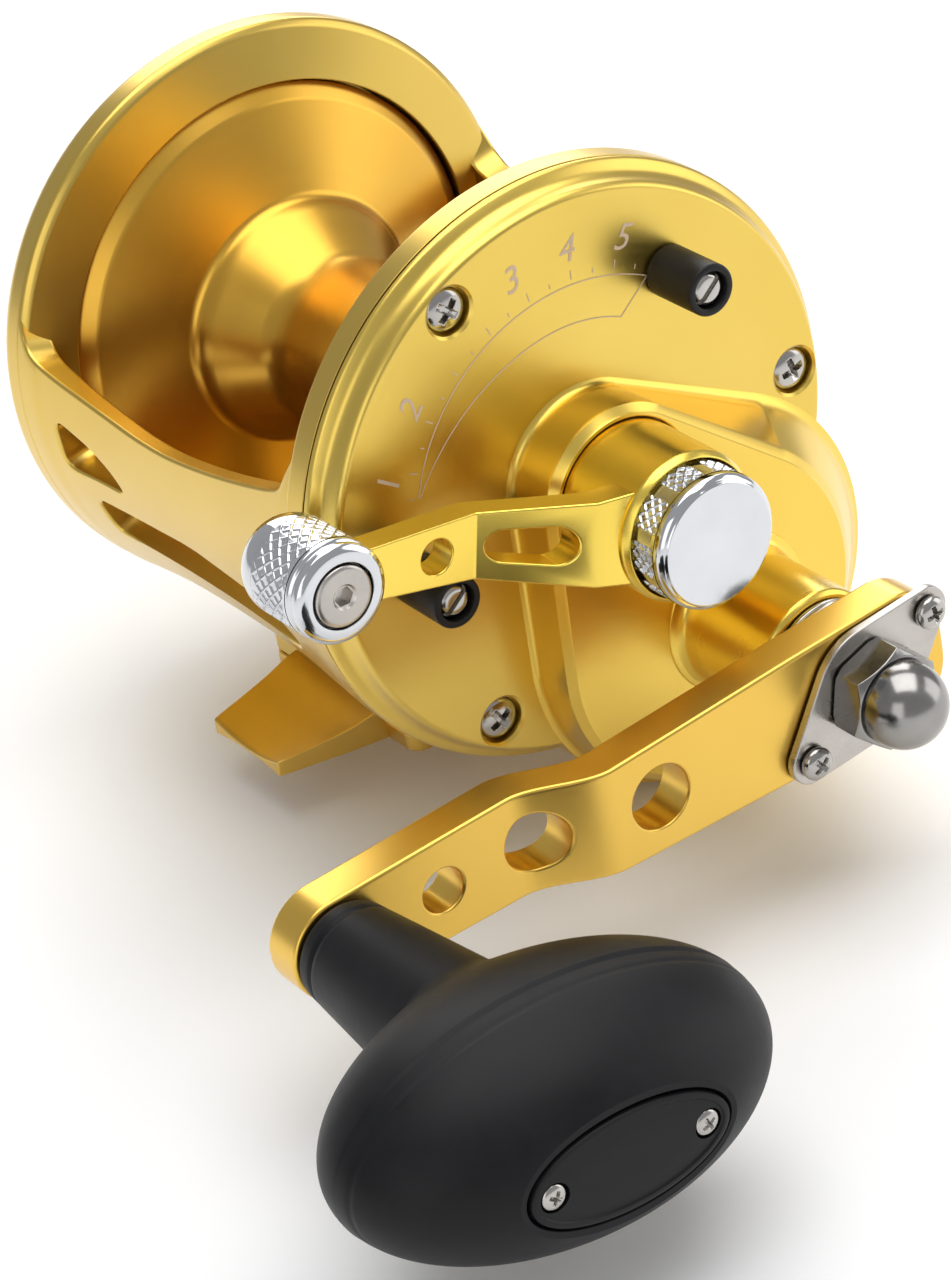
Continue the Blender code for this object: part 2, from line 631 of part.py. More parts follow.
# ---------------------------------------------------------------- gears
def involute_outline(teeth, phase):
    """Outline of a spur gear about the origin, thinned by the backlash."""
    pitch_r = MODULE * teeth / 2
    base_r = pitch_r * cos(PRESSURE_ANGLE)
    tip_r = pitch_r + 0.78 * MODULE
    root_r = pitch_r - 1.22 * MODULE
    half_tooth = (pi * MODULE / 2 - BACKLASH) / (2 * pitch_r)
    pitch_roll = tan(PRESSURE_ANGLE) - PRESSURE_ANGLE
    start_r = max(base_r, root_r)
    steps = 1 if teeth > 40 else 2
    radii = [start_r + (tip_r - start_r) * step / steps for step in range(steps + 1)]
    flank = []
    for radius in radii:
        pressure = acos(base_r / radius)
        flank.append((radius, half_tooth + pitch_roll - (tan(pressure) - pressure)))
    if root_r < base_r:
        flank.insert(0, (root_r, flank[0][1]))
    outline = []
    for tooth in range(teeth):
        middle = phase + 2 * pi * tooth / teeth
        outline += [(radius * cos(middle - half), radius * sin(middle - half)) for radius, half in flank]
        outline += [(radius * cos(middle + half), radius * sin(middle + half))
                    for radius, half in reversed(flank)]
    return outline


def gear_blank(teeth, phase, x_start, x_end, axis):
    """A spur gear without its bore."""
    outline = [(axis[1] + y, axis[2] + z) for y, z in involute_outline(teeth, phase)]
    return lofted([outline] * 2, (x_start, x_end))


def pinion():
    body = gear_blank(PINION_TEETH, radians(SHAFT_DIRECTION), 35.5, 41.3, SPOOL_AXIS)
    body = joined(body, cylinder(41.0, 45.0, 3.95, MEDIUM))
    body = cut(body, cylinder(35.0, 46.0, SHAFT_R + GAP, MEDIUM))
    piece("pinion_gear", body, gear_steel(), SPOOL_AXIS)
    piece("pinion_bearing", ring(41.7, 44.8, 4.3, 8.0, MEDIUM), steel())


def main_gear():
    towards_pinion = radians(SHAFT_DIRECTION) + pi
    body = gear_blank(MAIN_TEETH, towards_pinion + pi / MAIN_TEETH, 36.0, 41.0, HANDLE_AXIS)
    body = cut(body, cylinder(35.0, 42.0, 4.3, MEDIUM, HANDLE_AXIS))
    for index in range(6):
        hole = on_plate(14.0, 60.0 * index, HANDLE_AXIS)
        body = cut(body, cylinder(35.0, 42.0, 4.2, SMALL, hole))
    piece("main_gear", body, bronze(), HANDLE_AXIS)


def main_shaft():
    profile = [
        (34.8, 0.0), (34.8, 6.5), (35.7, 6.5), (35.7, 4.0), (76.0, 4.0), (86.0, 3.7), (86.6, 3.2),
        (86.6, 0.0)]
    piece("main_shaft", revolved(profile, MEDIUM, HANDLE_AXIS), steel(), HANDLE_AXIS)
    ratchet = toothed(RATCHET_TEETH, 6.7, RATCHET_TIP_R, 42.7, 44.7, 4.3, HANDLE_AXIS, 0.12)
    piece("ratchet_wheel", ratchet, gear_steel(), HANDLE_AXIS)
    for name, start, end in (("main_bearing_inner", 47.0, 50.0), ("main_bearing_outer", 63.6, 67.2)):
        piece(name, ring(start, end, 4.3, 7.0, MEDIUM, HANDLE_AXIS), steel(), HANDLE_AXIS)
    collar = ring(TOWER_X + GAP, ARM_BACK_X - GAP, 4.3, 8.7, MEDIUM, HANDLE_AXIS, 0.5)
    piece("arm_collar", collar, steel(), HANDLE_AXIS)


def anti_reverse():
    y, z = DOG_AXIS[1], DOG_AXIS[2]
    pin = cylinder(GEAR_POCKET_X + 0.2, 45.4, DOG_PIN_R, SMALL, DOG_AXIS)
    piece("dog_pin", pin, steel(), DOG_AXIS)
    spring = ring(44.9, 45.5, DOG_PIN_R + GAP, 2.5, SMALL, DOG_AXIS)
    leg = box((45.0, y - 0.2, z + 1.7), (45.4, y + 5.0, z + 2.3))
    piece("dog_spring", joined(spring, leg), steel(), DOG_AXIS)
    outline = [
        (y - 2.2, z + 1.2), (y - 1.6, z - 1.8), (y + 1.4, z - 2.2), (y + 2.6, z - 1.2),
        (y + 5.0, z + 4.4), (y + 3.4, z + 4.6), (y + 0.6, z + 2.4)]
    dog = lofted([outline] * 2, (42.8, 44.6))
    dog = cut(dog, cylinder(42.0, 46.0, DOG_PIN_R + GAP, SMALL, DOG_AXIS))
    turned(dog, -28.0, DOG_AXIS)
    piece("anti_reverse_dog", dog, gear_steel(), DOG_AXIS)


# ---------------------------------------------------------------- drag lever
def lever_slab(reach, face_x, half):
    """Four corners of the lever's cross-section at a distance from the spool axis."""
    return [(face_x - LEVER_THICKNESS, reach, -half), (face_x, reach, -half),
            (face_x, reach, half), (face_x - LEVER_THICKNESS, reach, half)]


def lever_arm():
    stations = (
        (7.5, LEVER_FACE_X + LEVER_SLOPE_RISE + 0.8, LEVER_HALF_NEAR + 0.6),
        (LEVER_SLOPE_NEAR, LEVER_FACE_X + LEVER_SLOPE_RISE, LEVER_HALF_NEAR),
        (LEVER_SLOPE_FAR, LEVER_FACE_X, LEVER_HALF_STEP),
        (LEVER_TIP_R - 5.0, LEVER_FACE_X + 0.4, LEVER_HALF_TIP),
        (LEVER_TIP_R + 3.4, LEVER_FACE_X + 0.4, LEVER_HALF_TIP - 0.5))
    bm = skinned([lever_slab(*station) for station in stations])
    bmesh.ops.translate(bm, verts=bm.verts, vec=SPOOL_AXIS)
    return turned(bm, LEVER_ANGLE, SPOOL_AXIS)


def lever_window():
    near_y, far_y = LEVER_SLOPE_NEAR + 4.4, LEVER_SLOPE_FAR - 3.2
    outline = circle((near_y, 0.0), 2.6, 9, 90.0, 180.0) + circle((far_y, 0.0), 2.1, 9, -90.0, 180.0)
    bm = lofted([outline] * 2, (40.0, 70.0))
    bmesh.ops.translate(bm, verts=bm.verts, vec=SPOOL_AXIS)
    return turned(bm, LEVER_ANGLE, SPOOL_AXIS)


def drag_lever():
    hub = revolved([
        (LEVER_HUB_X[0], 0.0), (LEVER_HUB_X[0], LEVER_HUB_R), (62.6, LEVER_HUB_R),
        (LEVER_HUB_X[1], LEVER_HUB_R - 0.5), (LEVER_HUB_X[1], 0.0)], FINE)
    body = joined(hub, lever_arm())
    body = cut(
        body,
        lever_window(),
        cylinder(46.0, 64.0, 3.0, SMALL),
        cylinder(46.0, 50.8, 8.7, MEDIUM),
        cylinder(57.4, 66.0, 5.4, MEDIUM),
        cylinder(62.0, 66.0, KNOB_R + 0.35, MEDIUM),
        cylinder(40.0, 60.0, 2.4, SMALL, on_plate(32.4, LEVER_ANGLE)),
        cylinder(40.0, 60.0, 1.8, SMALL, on_plate(LEVER_TIP_R, LEVER_ANGLE)))
    piece("drag_lever", body, gold(), SPOOL_AXIS)


def lever_grip():
    axis = on_plate(LEVER_TIP_R, LEVER_ANGLE)
    dome_length = LEVER_GRIP_R * 0.75
    dome = [(LEVER_GRIP_TAIL_X + dome_length * (1.0 - cos(radians(step))), LEVER_GRIP_R * sin(radians(step)))
            for step in range(0, 91, 15)]
    front = LEVER_FACE_X + 3.6
    profile = dome + [
        (front - 2.6, LEVER_GRIP_R), (front - 2.0, LEVER_GRIP_R - 0.4), (front - 1.5, LEVER_GRIP_R - 0.1),
        (front - 0.6, LEVER_GRIP_R - 0.1), (front, LEVER_GRIP_R - 0.8), (front, 0.0)]
    body = revolved(profile, MEDIUM, axis)
    slot_half = LEVER_HALF_TIP + 0.35
    slot = box((LEVER_FACE_X + 0.4 - LEVER_THICKNESS - GAP, LEVER_TIP_R - 12.0, -slot_half),
               (LEVER_FACE_X + 0.4 + GAP, LEVER_TIP_R + 3.8, slot_half))
    bmesh.ops.translate(slot, verts=slot.verts, vec=SPOOL_AXIS)
    turned(slot, LEVER_ANGLE, SPOOL_AXIS)
    bore = cylinder(42.0, 60.0, 1.8, SMALL, axis)
    recess = cylinder(front - 1.7, 60.0, 4.4, MEDIUM, axis)
    body = cut(body, slot, bore, recess)
    piece("lever_grip", body, chrome(), axis)
    head = revolved([
        (42.6, 0.0), (42.6, 1.0), (43.0, 1.5), (front - 1.4, 1.5), (front - 1.4, 4.1), (front + 0.1, 4.1),
        (front + 0.4, 3.6), (front + 0.4, 0.0)], MEDIUM, axis)
    socket = lofted([circle((axis[1], axis[2]), 1.4, 6)] * 2, (front - 0.9, front + 2.0))
    piece("lever_grip_screw", cut(head, socket), steel(), axis)


def cams():
    piece("fixed_cam", ring(45.5, 47.7, 4.3, 10.7, MEDIUM), gear_steel())
    piece("lever_cam", ring(48.1, 50.4, 3.1, 8.4, MEDIUM), gear_steel(), SPOOL_AXIS)


def preset_knob():
    body = revolved([
        (57.8, 0.0), (57.8, 5.0), (62.3, 5.0), (62.3, KNOB_R - 0.3), (62.9, KNOB_R), (67.4, KNOB_R),
        (67.9, KNOB_R - 0.5), (68.4, KNOB_R - 0.25), (69.0, KNOB_R - 0.35), (KNOB_FACE_X, KNOB_R - 0.9),
        (KNOB_FACE_X, 0.0)], FINE)
    body = cut(body, cylinder(57.0, 61.4, SHAFT_R + GAP, SMALL))
    piece("preset_knob", body, chrome(), SPOOL_AXIS)


# ---------------------------------------------------------------- handle
def arm_shift(reach):
    """How far towards the reel the arm lies, as a smooth step along its length."""
    start, end = ARM_BEND
    u = min(max((reach - start) / (end - start), 0.0), 1.0)
    return -ARM_STEP * u * u * (3.0 - 2.0 * u)


def arm_half(reach):
    if reach < ARM_BEND[0]:
        return ARM_HALF_HUB + (ARM_HALF_BEND - ARM_HALF_HUB) * max(reach, 0.0) / ARM_BEND[0]
    share = min((reach - ARM_BEND[0]) / (ARM_LENGTH - ARM_BEND[0]), 1.0)
    return ARM_HALF_BEND + (ARM_HALF_TIP - ARM_HALF_BEND) * share


def arm_stations():
    """Distance along the arm and half width, from the rounded heel to the rounded tip."""
    stations = []
    heel_r = 7.0
    for angle in range(0, 91, 18):
        reach = -ARM_HEEL + heel_r * (1.0 - cos(radians(angle)))
        stations.append((reach, ARM_HALF_HUB - heel_r * (1.0 - sin(radians(angle)))))
    stations.append((20.0, arm_half(20.0)))
    bend_steps = 8
    for step in range(bend_steps + 1):
        reach = ARM_BEND[0] + (ARM_BEND[1] - ARM_BEND[0]) * step / bend_steps
        stations.append((reach, arm_half(reach)))
    for angle in range(0, 91, 15):
        half = max(ARM_HALF_TIP * cos(radians(angle)), 0.4)
        stations.append((ARM_LENGTH + ARM_HALF_TIP * sin(radians(angle)), half))
    return stations


def handle_arm():
    rings = []
    for reach, half in arm_stations():
        back = ARM_BACK_X + arm_shift(reach)
        front = back + ARM_THICKNESS
        rings.append([(back, reach, -half), (front, reach, -half), (front, reach, half), (back, reach, half)])
    bm = skinned(rings)
    bmesh.ops.translate(bm, verts=bm.verts, vec=HANDLE_AXIS)
    turned(bm, ARM_ANGLE, HANDLE_AXIS)
    shaft_hole = cylinder(60.0, 90.0, 4.3, MEDIUM, HANDLE_AXIS)
    spindle_hole = cylinder(60.0, 90.0, 3.3, SMALL, HANDLE_TIP)
    body = cut(bm, shaft_hole, spindle_hole)
    for reach, radius in ARM_HOLES:
        body = cut(body, cylinder(60.0, 90.0, radius, MEDIUM, on_plate(reach, ARM_ANGLE, HANDLE_AXIS)))
    for axis in LOCK_SCREWS:
        body = cut(body, cylinder(73.0, 90.0, 1.5, SMALL, axis))
    piece("handle_arm", body, gold(), HANDLE_AXIS)


def convex_outline(points):
    """Convex hull of (y, z) points, anticlockwise."""
    ordered = sorted(set((round(y, 5), round(z, 5)) for y, z in points))

    def half(sequence):
        chain = []
        for point in sequence:
            while len(chain) > 1 and turn(chain[-2], chain[-1], point) <= 0.0:
                chain.pop()
            chain.append(point)
        return chain[:-1]

    return half(ordered) + half(reversed(ordered))


def turn(first, second, third):
    return ((second[0] - first[0]) * (third[1] - first[1])
            - (second[1] - first[1]) * (third[0] - first[0]))


def lock_plate():
    points = circle((HANDLE_Y, HANDLE_Z), 8.9, MEDIUM)
    for axis in LOCK_SCREWS:
        points += circle((axis[1], axis[2]), 3.3, SMALL)
    outline = convex_outline(points)
    body = lofted([outline] * 2, (LOCK_X, LOCK_X + LOCK_THICKNESS))
    body = cut(body, cylinder(70.0, 90.0, 4.3, MEDIUM, HANDLE_AXIS))
    for axis in LOCK_SCREWS:
        body = cut(body, cylinder(70.0, 90.0, 1.5, SMALL, axis))
    piece("lock_plate", body, steel(), HANDLE_AXIS)
    for index, axis in enumerate(LOCK_SCREWS, 1):
        pan_screw(f"lock_plate_screw_{index}", axis, LOCK_X + LOCK_THICKNESS + GAP, 2.3, 1.6, 1.2, 4.2)


def cap_nut():
    hexagon = circle((HANDLE_Y, HANDLE_Z), 7.4, 6, 20.0)
    body = lofted([hexagon] * 2, (NUT_X, NUT_X + 5.2))
    dome_r = 5.9
    base = NUT_X + 4.8
    dome = [(base, 0.0), (base, dome_r), (base + 1.6, dome_r)]
    dome += [(base + 1.6 + dome_r * sin(radians(step)), dome_r * cos(radians(step)))
             for step in range(15, 91, 15)]
    dome[-1] = (dome[-1][0], 0.0)
    body = joined(body, revolved(dome, MEDIUM, HANDLE_AXIS))
    body = cut(body, cylinder(NUT_X - 1.0, 87.2, 4.0 + GAP, MEDIUM, HANDLE_AXIS))
    piece("cap_nut", body, steel(), HANDLE_AXIS)


def spindle():
    profile = [
        (62.9, 0.0), (62.9, 4.4), (63.3, 5.0), (64.3, 5.0), (64.3, 3.0), (119.0, 3.0), (119.6, 2.4),
        (119.6, 0.0)]
    piece("grip_spindle", revolved(profile, SMALL, HANDLE_TIP), steel(), HANDLE_TIP)
    nut = lofted([circle((HANDLE_TIP[1], HANDLE_TIP[2]), 5.0, 6)] * 2, (119.9 - 3.6, 119.9))
    nut = cut(nut, cylinder(110.0, 122.0, 3.3, SMALL, HANDLE_TIP))
    piece("spindle_nut", nut, steel(), HANDLE_TIP)


def grip_half_axes(x):
    """Half axes of the grip's section: a flaring stem that runs into an oval body."""
    stem_start = ARM_TIP_X + GAP
    stem = 7.0 + 0.105 * (x - stem_start)
    inside = 1.0 - ((x - GRIP_X) / GRIP_HALF[0]) ** 2
    if inside <= 0.0:
        return stem, stem
    swell = sqrt(inside)
    blend = 6.0
    return tuple((stem ** blend + (half * swell) ** blend) ** (1.0 / blend) for half in GRIP_HALF[1:])


def grip():
    start = ARM_TIP_X + GAP
    stations = [start, start + 0.8, start + 6.0, start + 14.0, start + 20.0]
    stations += [GRIP_X - GRIP_HALF[0] * cos(radians(step)) for step in range(8, 90, 16)]
    stations += [GRIP_X + (GRIP_END_X - GRIP_X) * share for share in (0.0, 0.45, 0.8, 1.0)]
    outlines = []
    for x in stations:
        if x <= GRIP_X:
            half_y, half_z = grip_half_axes(x)
        else:
            swell = sqrt(1.0 - ((x - GRIP_X) / GRIP_HALF[0]) ** 2)
            half_y, half_z = GRIP_HALF[1] * swell, GRIP_HALF[2] * swell
        if x == start:
            half_y, half_z = half_y - 0.5, half_z - 0.5
        outlines.append(oval(half_y, half_z, MEDIUM))
    body = lofted(outlines, stations)
    body = cut(
        body,
        cylinder(start - 1.0, 118.0, 3.3, SMALL, HANDLE_TIP),
        cylinder(116.0, GRIP_END_X + 2.0, 5.8, MEDIUM, HANDLE_TIP),
        lofted([oval(CAP_HALF[0] + GAP, CAP_HALF[1] + GAP, MEDIUM)] * 2,
               (GRIP_END_X - 2.0, GRIP_END_X + 2.0)))
    for axis in CAP_SCREWS:
        body = cut(body, cylinder(GRIP_END_X - 8.0, GRIP_END_X, 1.2, SMALL, axis))
    piece("grip", body, rubber(), HANDLE_TIP)


def oval(half_y, half_z, count):
    points = []
    tilt = radians(GRIP_TILT)
    for index in range(count):
        angle = 2 * pi * index / count
        y, z = half_y * cos(angle), half_z * sin(angle)
        points.append((HANDLE_TIP[1] + y * cos(tilt) - z * sin(tilt),
                       HANDLE_TIP[2] + y * sin(tilt) + z * cos(tilt)))
    return points


def grip_cap():
    outline = oval(*CAP_HALF, MEDIUM)
    inner = oval(CAP_HALF[0] - 0.5, CAP_HALF[1] - 0.5, MEDIUM)
    body = lofted([outline, outline, inner], (GRIP_END_X - 1.7, GRIP_END_X + 0.2, GRIP_END_X + 0.7))
    for axis in CAP_SCREWS:
        body = cut(body, cylinder(GRIP_END_X - 3.0, GRIP_END_X + 2.0, 1.2, SMALL, axis))
        body = cut(body, cylinder(GRIP_END_X - 0.7, GRIP_END_X + 2.0, 2.0, SMALL, axis))
    piece("grip_cap", body, plastic(), HANDLE_TIP)
    for index, axis in enumerate(CAP_SCREWS, 1):
        pan_screw(f"grip_cap_screw_{index}", axis, GRIP_END_X - 0.7 + GAP, 1.75, 1.1, 0.9, 5.0)


# ---------------------------------------------------------------- clicker
def clicker():
    stem_axis = on_plate(24.6, CLICK_ANGLE)
    button = revolved([
        (-47.2, 0.0), (-47.2, 3.0), (-46.6, 3.6), (-44.8, 3.6), (-44.0, 3.2), (-44.0, 1.7), (-38.4, 1.7),
        (-38.4, 0.0)], MEDIUM, stem_axis)
    piece("click_button", button, gold(), stem_axis)
    pawl = box((-38.1, CLICK_REST_R, -1.5), (-36.6, 27.0, 1.5))
    tip = box((-39.0, CLICK_REST_R - 1.0, 0.5), (-35.0, CLICK_REST_R + 1.6, 3.0))
    pawl = cut(pawl, tip)
    bmesh.ops.translate(pawl, verts=pawl.verts, vec=SPOOL_AXIS)
    turned(pawl, CLICK_ANGLE, SPOOL_AXIS)
    piece("click_pawl", pawl, gear_steel(), stem_axis)


def main():
    clear_scene()
    frame()
    side_plate()
    side_plate_fasteners()
    lever_stops()
    left_cap()
    reel_foot()
    foot_screws()
    spool()
    spool_bearings()
    click_gear()
    drag_stack()
    spool_shaft()
    pinion()
    main_gear()
    main_shaft()
    anti_reverse()
    drag_lever()
    lever_grip()
    cams()
    preset_knob()
    handle_arm()
    lock_plate()
    cap_nut()
    spindle()
    grip()
    grip_cap()
    clicker()


main()
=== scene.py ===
"""Looks of a gold lever-drag trolling reel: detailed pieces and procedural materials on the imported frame.

Sizes in this script are in millimetres and degrees; meshes are scaled to metres as they become pieces.
X runs along the spool axis towards the handle, +Y forward, +Z up; the origin is the centre of the foot
seat. Angles around an X axis are measured from +Y towards +Z.
"""
import json
from math import acos, atan2, cos, degrees, hypot, pi, radians, sin, sqrt

import bmesh
import bpy
from mathutils import Matrix, Vector


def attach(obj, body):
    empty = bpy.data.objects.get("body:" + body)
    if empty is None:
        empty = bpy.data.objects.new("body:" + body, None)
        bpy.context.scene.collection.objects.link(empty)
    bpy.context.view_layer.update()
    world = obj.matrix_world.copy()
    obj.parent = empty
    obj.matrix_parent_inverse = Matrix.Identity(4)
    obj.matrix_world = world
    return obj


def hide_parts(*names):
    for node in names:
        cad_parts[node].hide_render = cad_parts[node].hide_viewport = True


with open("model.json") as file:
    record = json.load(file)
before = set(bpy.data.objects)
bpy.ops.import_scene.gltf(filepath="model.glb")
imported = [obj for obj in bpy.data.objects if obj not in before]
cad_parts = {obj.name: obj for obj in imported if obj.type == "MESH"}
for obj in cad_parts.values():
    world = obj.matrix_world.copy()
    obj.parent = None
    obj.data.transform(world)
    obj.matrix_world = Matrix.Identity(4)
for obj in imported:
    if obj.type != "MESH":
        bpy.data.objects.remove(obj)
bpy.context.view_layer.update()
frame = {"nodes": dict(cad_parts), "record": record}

MM = 0.001
ROUND = 144                     # facets of the large turned surfaces
FAIR = 64                       # facets of middling rounds
TINY = 32                       # facets of screws and small holes
ORIGIN = (0.0, 0.0, 0.0)

# ---- driving dimensions
GAP = 0.3                       # running clearance

# frame: the spool axis, the two rings and the wall between them
AXIS_Z = 45.6
SPOOL_AXIS = (0.0, 0.0, AXIS_Z)
FRAME_R = 42.0
BORE_R = 33.6
LEFT_FACE_X = -43.6
LEFT_EDGE_X = -39.2
LEFT_RING_X = -34.9
RIGHT_RING_X = 32.0
# the wall's upper edge as (x, angle); the front edge mirrors it
WALL_EDGE = ((-36.5, 158.6), (-35.6, 162.0), (-34.9, 164.4), (-34.3, 166.0), (-33.3, 167.6),
             (-31.7, 168.9), (-29.6, 169.8), (-23.4, 171.4), (-14.5, 173.0), (-7.2, 173.9),
             (0.0, 173.8), (8.0, 172.4), (16.0, 170.3), (24.0, 167.6), (29.3, 165.4), (30.7, 164.0),
             (31.6, 161.5), (33.5, 156.0))
# the wall's outside as (x, radius), waisted between the rings
WALL_OUTSIDE = ((-36.5, 41.95), (-33.0, 41.8), (-30.0, 41.45), (-18.0, 40.5), (0.0, 40.15),
                (16.0, 40.5), (27.0, 41.4), (31.0, 41.8), (33.5, 41.95))
WALL_MIDDLE_R = 40.0
WALL_INSIDE_R = 37.3
# holes through the wall as (x, angle) outlines
CORNER_HOLE = ((-28.6, 179.5), (-28.6, 190.5), (-14.5, 190.5), (-16.5, 186.5), (-21.0, 182.8))
LONG_SLOT = ((-24.5, 197.0), (-24.5, 207.0), (22.0, 207.0), (25.0, 202.0), (20.0, 197.0), (0.0, 195.5))

# spool
FLANGE_R = 33.2
ARBOR_R = 11.6

# foot
FOOT_HALF = (18.2, 19.5)
FOOT_CORNER_R = 2.5
FOOT_THICKNESS = 2.8
# the blade's sections as (reach, half width, rise of the underside, height of the top)
BLADE_SECTIONS = ((14.5, 11.6, 2.1, 5.3), (16.5, 11.6, 2.1, 5.3), (20.5, 11.3, 1.9, 5.0),
                  (25.0, 10.6, 1.6, 3.9), (30.0, 9.6, 1.3, 3.2), (34.5, 8.7, 0.9, 2.7),
                  (36.0, 8.3, 0.7, 2.5))
BLADE_SCOOP = 1.2

# side plate, gear housing and shaft tower
SEAM_X = 36.9
PLATE_X = 41.3
HOUSING_X = 49.8
TOWER_X = 67.7
TOWER_R = 9.6
SHAFT_DIRECTION = -58.5
MODULE = 0.8
TEETH = (60, 13)
CENTRES = MODULE * sum(TEETH) / 2
HANDLE_Y = CENTRES * cos(radians(SHAFT_DIRECTION))
HANDLE_Z = AXIS_Z + CENTRES * sin(radians(SHAFT_DIRECTION))
HANDLE_AXIS = (0.0, HANDLE_Y, HANDLE_Z)
LOBE_R = 28.3
HUB_RING_R = 12.4
HUB_RECESS_R = 10.56
LOBE_TOP = (11.4, AXIS_Z - 24.0)
LOBE_TOP_R = 24.1
PLATE_SCREW_PITCH_R = 35.4
PLATE_SCREW_ANGLES = (1.0, 119.5, 238.0)

# dial marks on the side plate
DIAL_X = PLATE_X + 0.03
DIAL_R = 27.3
DIAL_ENDS = (61.0, 164.0)
DIAL_INNER = ((67.0, 21.5), (91.0, 21.9), (116.0, 22.5), (136.0, 23.8), (151.0, 25.3), (164.0, 27.0))
DIAL_LINE = 0.17
NUMERAL_SIZE = 5.2
NUMERAL_R = 32.2
NUMERAL_ANGLES = (160.0, 142.0, 104.0, 88.0, 72.0)
TICK_START = 66.0
TICK_PITCH = 7.0
TICK_COUNT = 15

# drag lever with its grip and stops, and the preset knob
LEVER_ANGLE = 169.5
LEVER_FACE_X = 53.0
LEVER_THICKNESS = 4.4
# the lever's sections as (reach, half width)
LEVER_SECTIONS = ((8.0, 6.4), (13.4, 5.9), (26.4, 4.6), (43.9, 3.6), (51.8, 3.2))
LEVER_TIP_R = 48.9
LEVER_GRIP_R = 6.8
LEVER_GRIP_TAIL_X = 39.2
STOP_PITCH_R = 28.7
STOP_SLEEVE_R = 3.6
STOP_SLEEVE_X = 50.9
STOP_ANGLES = {"free": 186.5, "full": 55.0}
KNOB_R = 9.3
KNOB_FACE_X = 69.4

# crank arm, lock plate and cap nut
ARM_ANGLE = 182.9
ARM_LENGTH = 79.8
ARM_THICKNESS = 6.0
ARM_BACK_X = 70.1
ARM_STEP = 5.5
ARM_BEND = (40.0, 53.0)
ARM_HEEL = -13.9
ARM_HEEL_R = 7.0
ARM_TIP_R = 7.2
ARM_HOLES = ((33.6, 4.5), (50.2, 4.2), (64.2, 3.1))
SHAFT_HOLE_R = 4.3
SPINDLE_HOLE_R = 3.3
LOCK_ANGLE = 33.0
LOCK_X = 76.4
LOCK_THICKNESS = 1.3
LOCK_MIDDLE_R = 8.9
LOCK_END_R = 3.3
LOCK_PITCH_R = 12.4
NUT_X = 78.0
NUT_R = 7.4
NUT_DOME_R = 5.9

# grip
GRIP_START_X = ARM_BACK_X - ARM_STEP + ARM_THICKNESS + GAP
GRIP_X = 113.5
GRIP_HALF = (18.5, 30.0, 16.0)
GRIP_END_X = 129.4
GRIP_TILT = -4.0
CAP_HALF = (14.2, 6.8)
CAP_SCREW_R = 10.9

# click button on the left face
CLICK_R = 24.6
CLICK_ANGLE = 200.0

# studio, in metres: area lights as (name, place, size, watts)
LIGHTS = (("key", (0.10, 0.10, 0.95), (0.9, 0.9), 6.6), ("fill", (0.75, -0.95, 0.30), (0.6, 1.0), 2.2),
          ("back", (-0.75, 0.45, 0.58), (0.8, 0.7), 5.4), ("side", (0.45, 0.90, 0.35), (0.7, 0.7), 2.4))
LIT_POINT = (0.03, -0.02, 0.04)
FLOOR_LEVEL = -0.0080
FLOOR_HALF = 3
CAMERA_PLACE = (0.4552, -0.2710, 0.3169)
CAMERA_RIGHT = (0.5779, 0.8054, -0.1317)
CAMERA_UP = (-0.3532, 0.3923, 0.8494)
CAMERA_BACK = (0.7357, -0.4443, 0.5111)
CAMERA_LENS = 120.2


# ---- mesh helpers
def polar(radius, angle):
    return radius * cos(radians(angle)), radius * sin(radians(angle))


def on_plate(radius, angle, axis=SPOOL_AXIS):
    """A point at a radius and angle around an X axis."""
    y, z = polar(radius, angle)
    return (0.0, axis[1] + y, axis[2] + z)


HANDLE_TIP = on_plate(ARM_LENGTH, ARM_ANGLE, HANDLE_AXIS)


def spaced(ends, steps):
    """Values spread evenly from one end to the other, with both ends."""
    return [ends[0] + (ends[1] - ends[0]) * step / steps for step in range(steps + 1)]


def circle(centre, radius, count, start=0.0, sweep=360.0):
    """Points of a circle or an arc; an arc includes both its ends."""
    steps = count if sweep >= 360.0 else count - 1
    points = []
    for index in range(count):
        y, z = polar(radius, start + sweep * index / steps)
        points.append((centre[0] + y, centre[1] + z))
    return points


def two_circle_hull(first, first_r, second, second_r, grow=0.0):
    """Outline around two circles joined by their outer tangents, offset by grow."""
    direction = degrees(atan2(second[1] - first[1], second[0] - first[0]))
    spread = degrees(acos((first_r - second_r) / hypot(second[0] - first[0], second[1] - first[1])))
    near = circle(first, first_r + grow, 40, direction + spread, 360.0 - 2 * spread)
    far = circle(second, second_r + grow, 96, direction - spread, 2 * spread)
    return near + far


# a quarter round over an edge: share of the rounding below the face, and share beside the edge
QUARTER = [(1.0 - cos(radians(angle)), 1.0 - sin(radians(angle))) for angle in (0, 22, 45, 68, 90)]


def corner_curve(start, corner, end, steps):
    """Points of a smooth curve that cuts a corner, from start to end."""
    points = []
    for step in range(steps + 1):
        t = step / steps
        point = start * (1 - t) ** 2 + corner * (2 * t * (1 - t)) + end * t * t
        points.append((point.x, point.y))
    return points


def softened(profile, steps=4):
    """Round the corners of a closed (x, radius[, round]) profile; round is 0.25 mm unless given."""
    points = []
    count = len(profile)
    for index, corner in enumerate(profile):
        here = Vector(corner[:2])
        reach = corner[2] if len(corner) > 2 else 0.25
        before = Vector(profile[index - 1][:2]) - here
        after = Vector(profile[(index + 1) % count][:2]) - here
        if corner[1] == 0.0:
            points.append((here.x, here.y))
            continue
        reach = min(reach, 0.45 * before.length, 0.45 * after.length)
        start = here + before.normalized() * reach
        end = here + after.normalized() * reach
        points += corner_curve(start, here, end, steps)
    return points


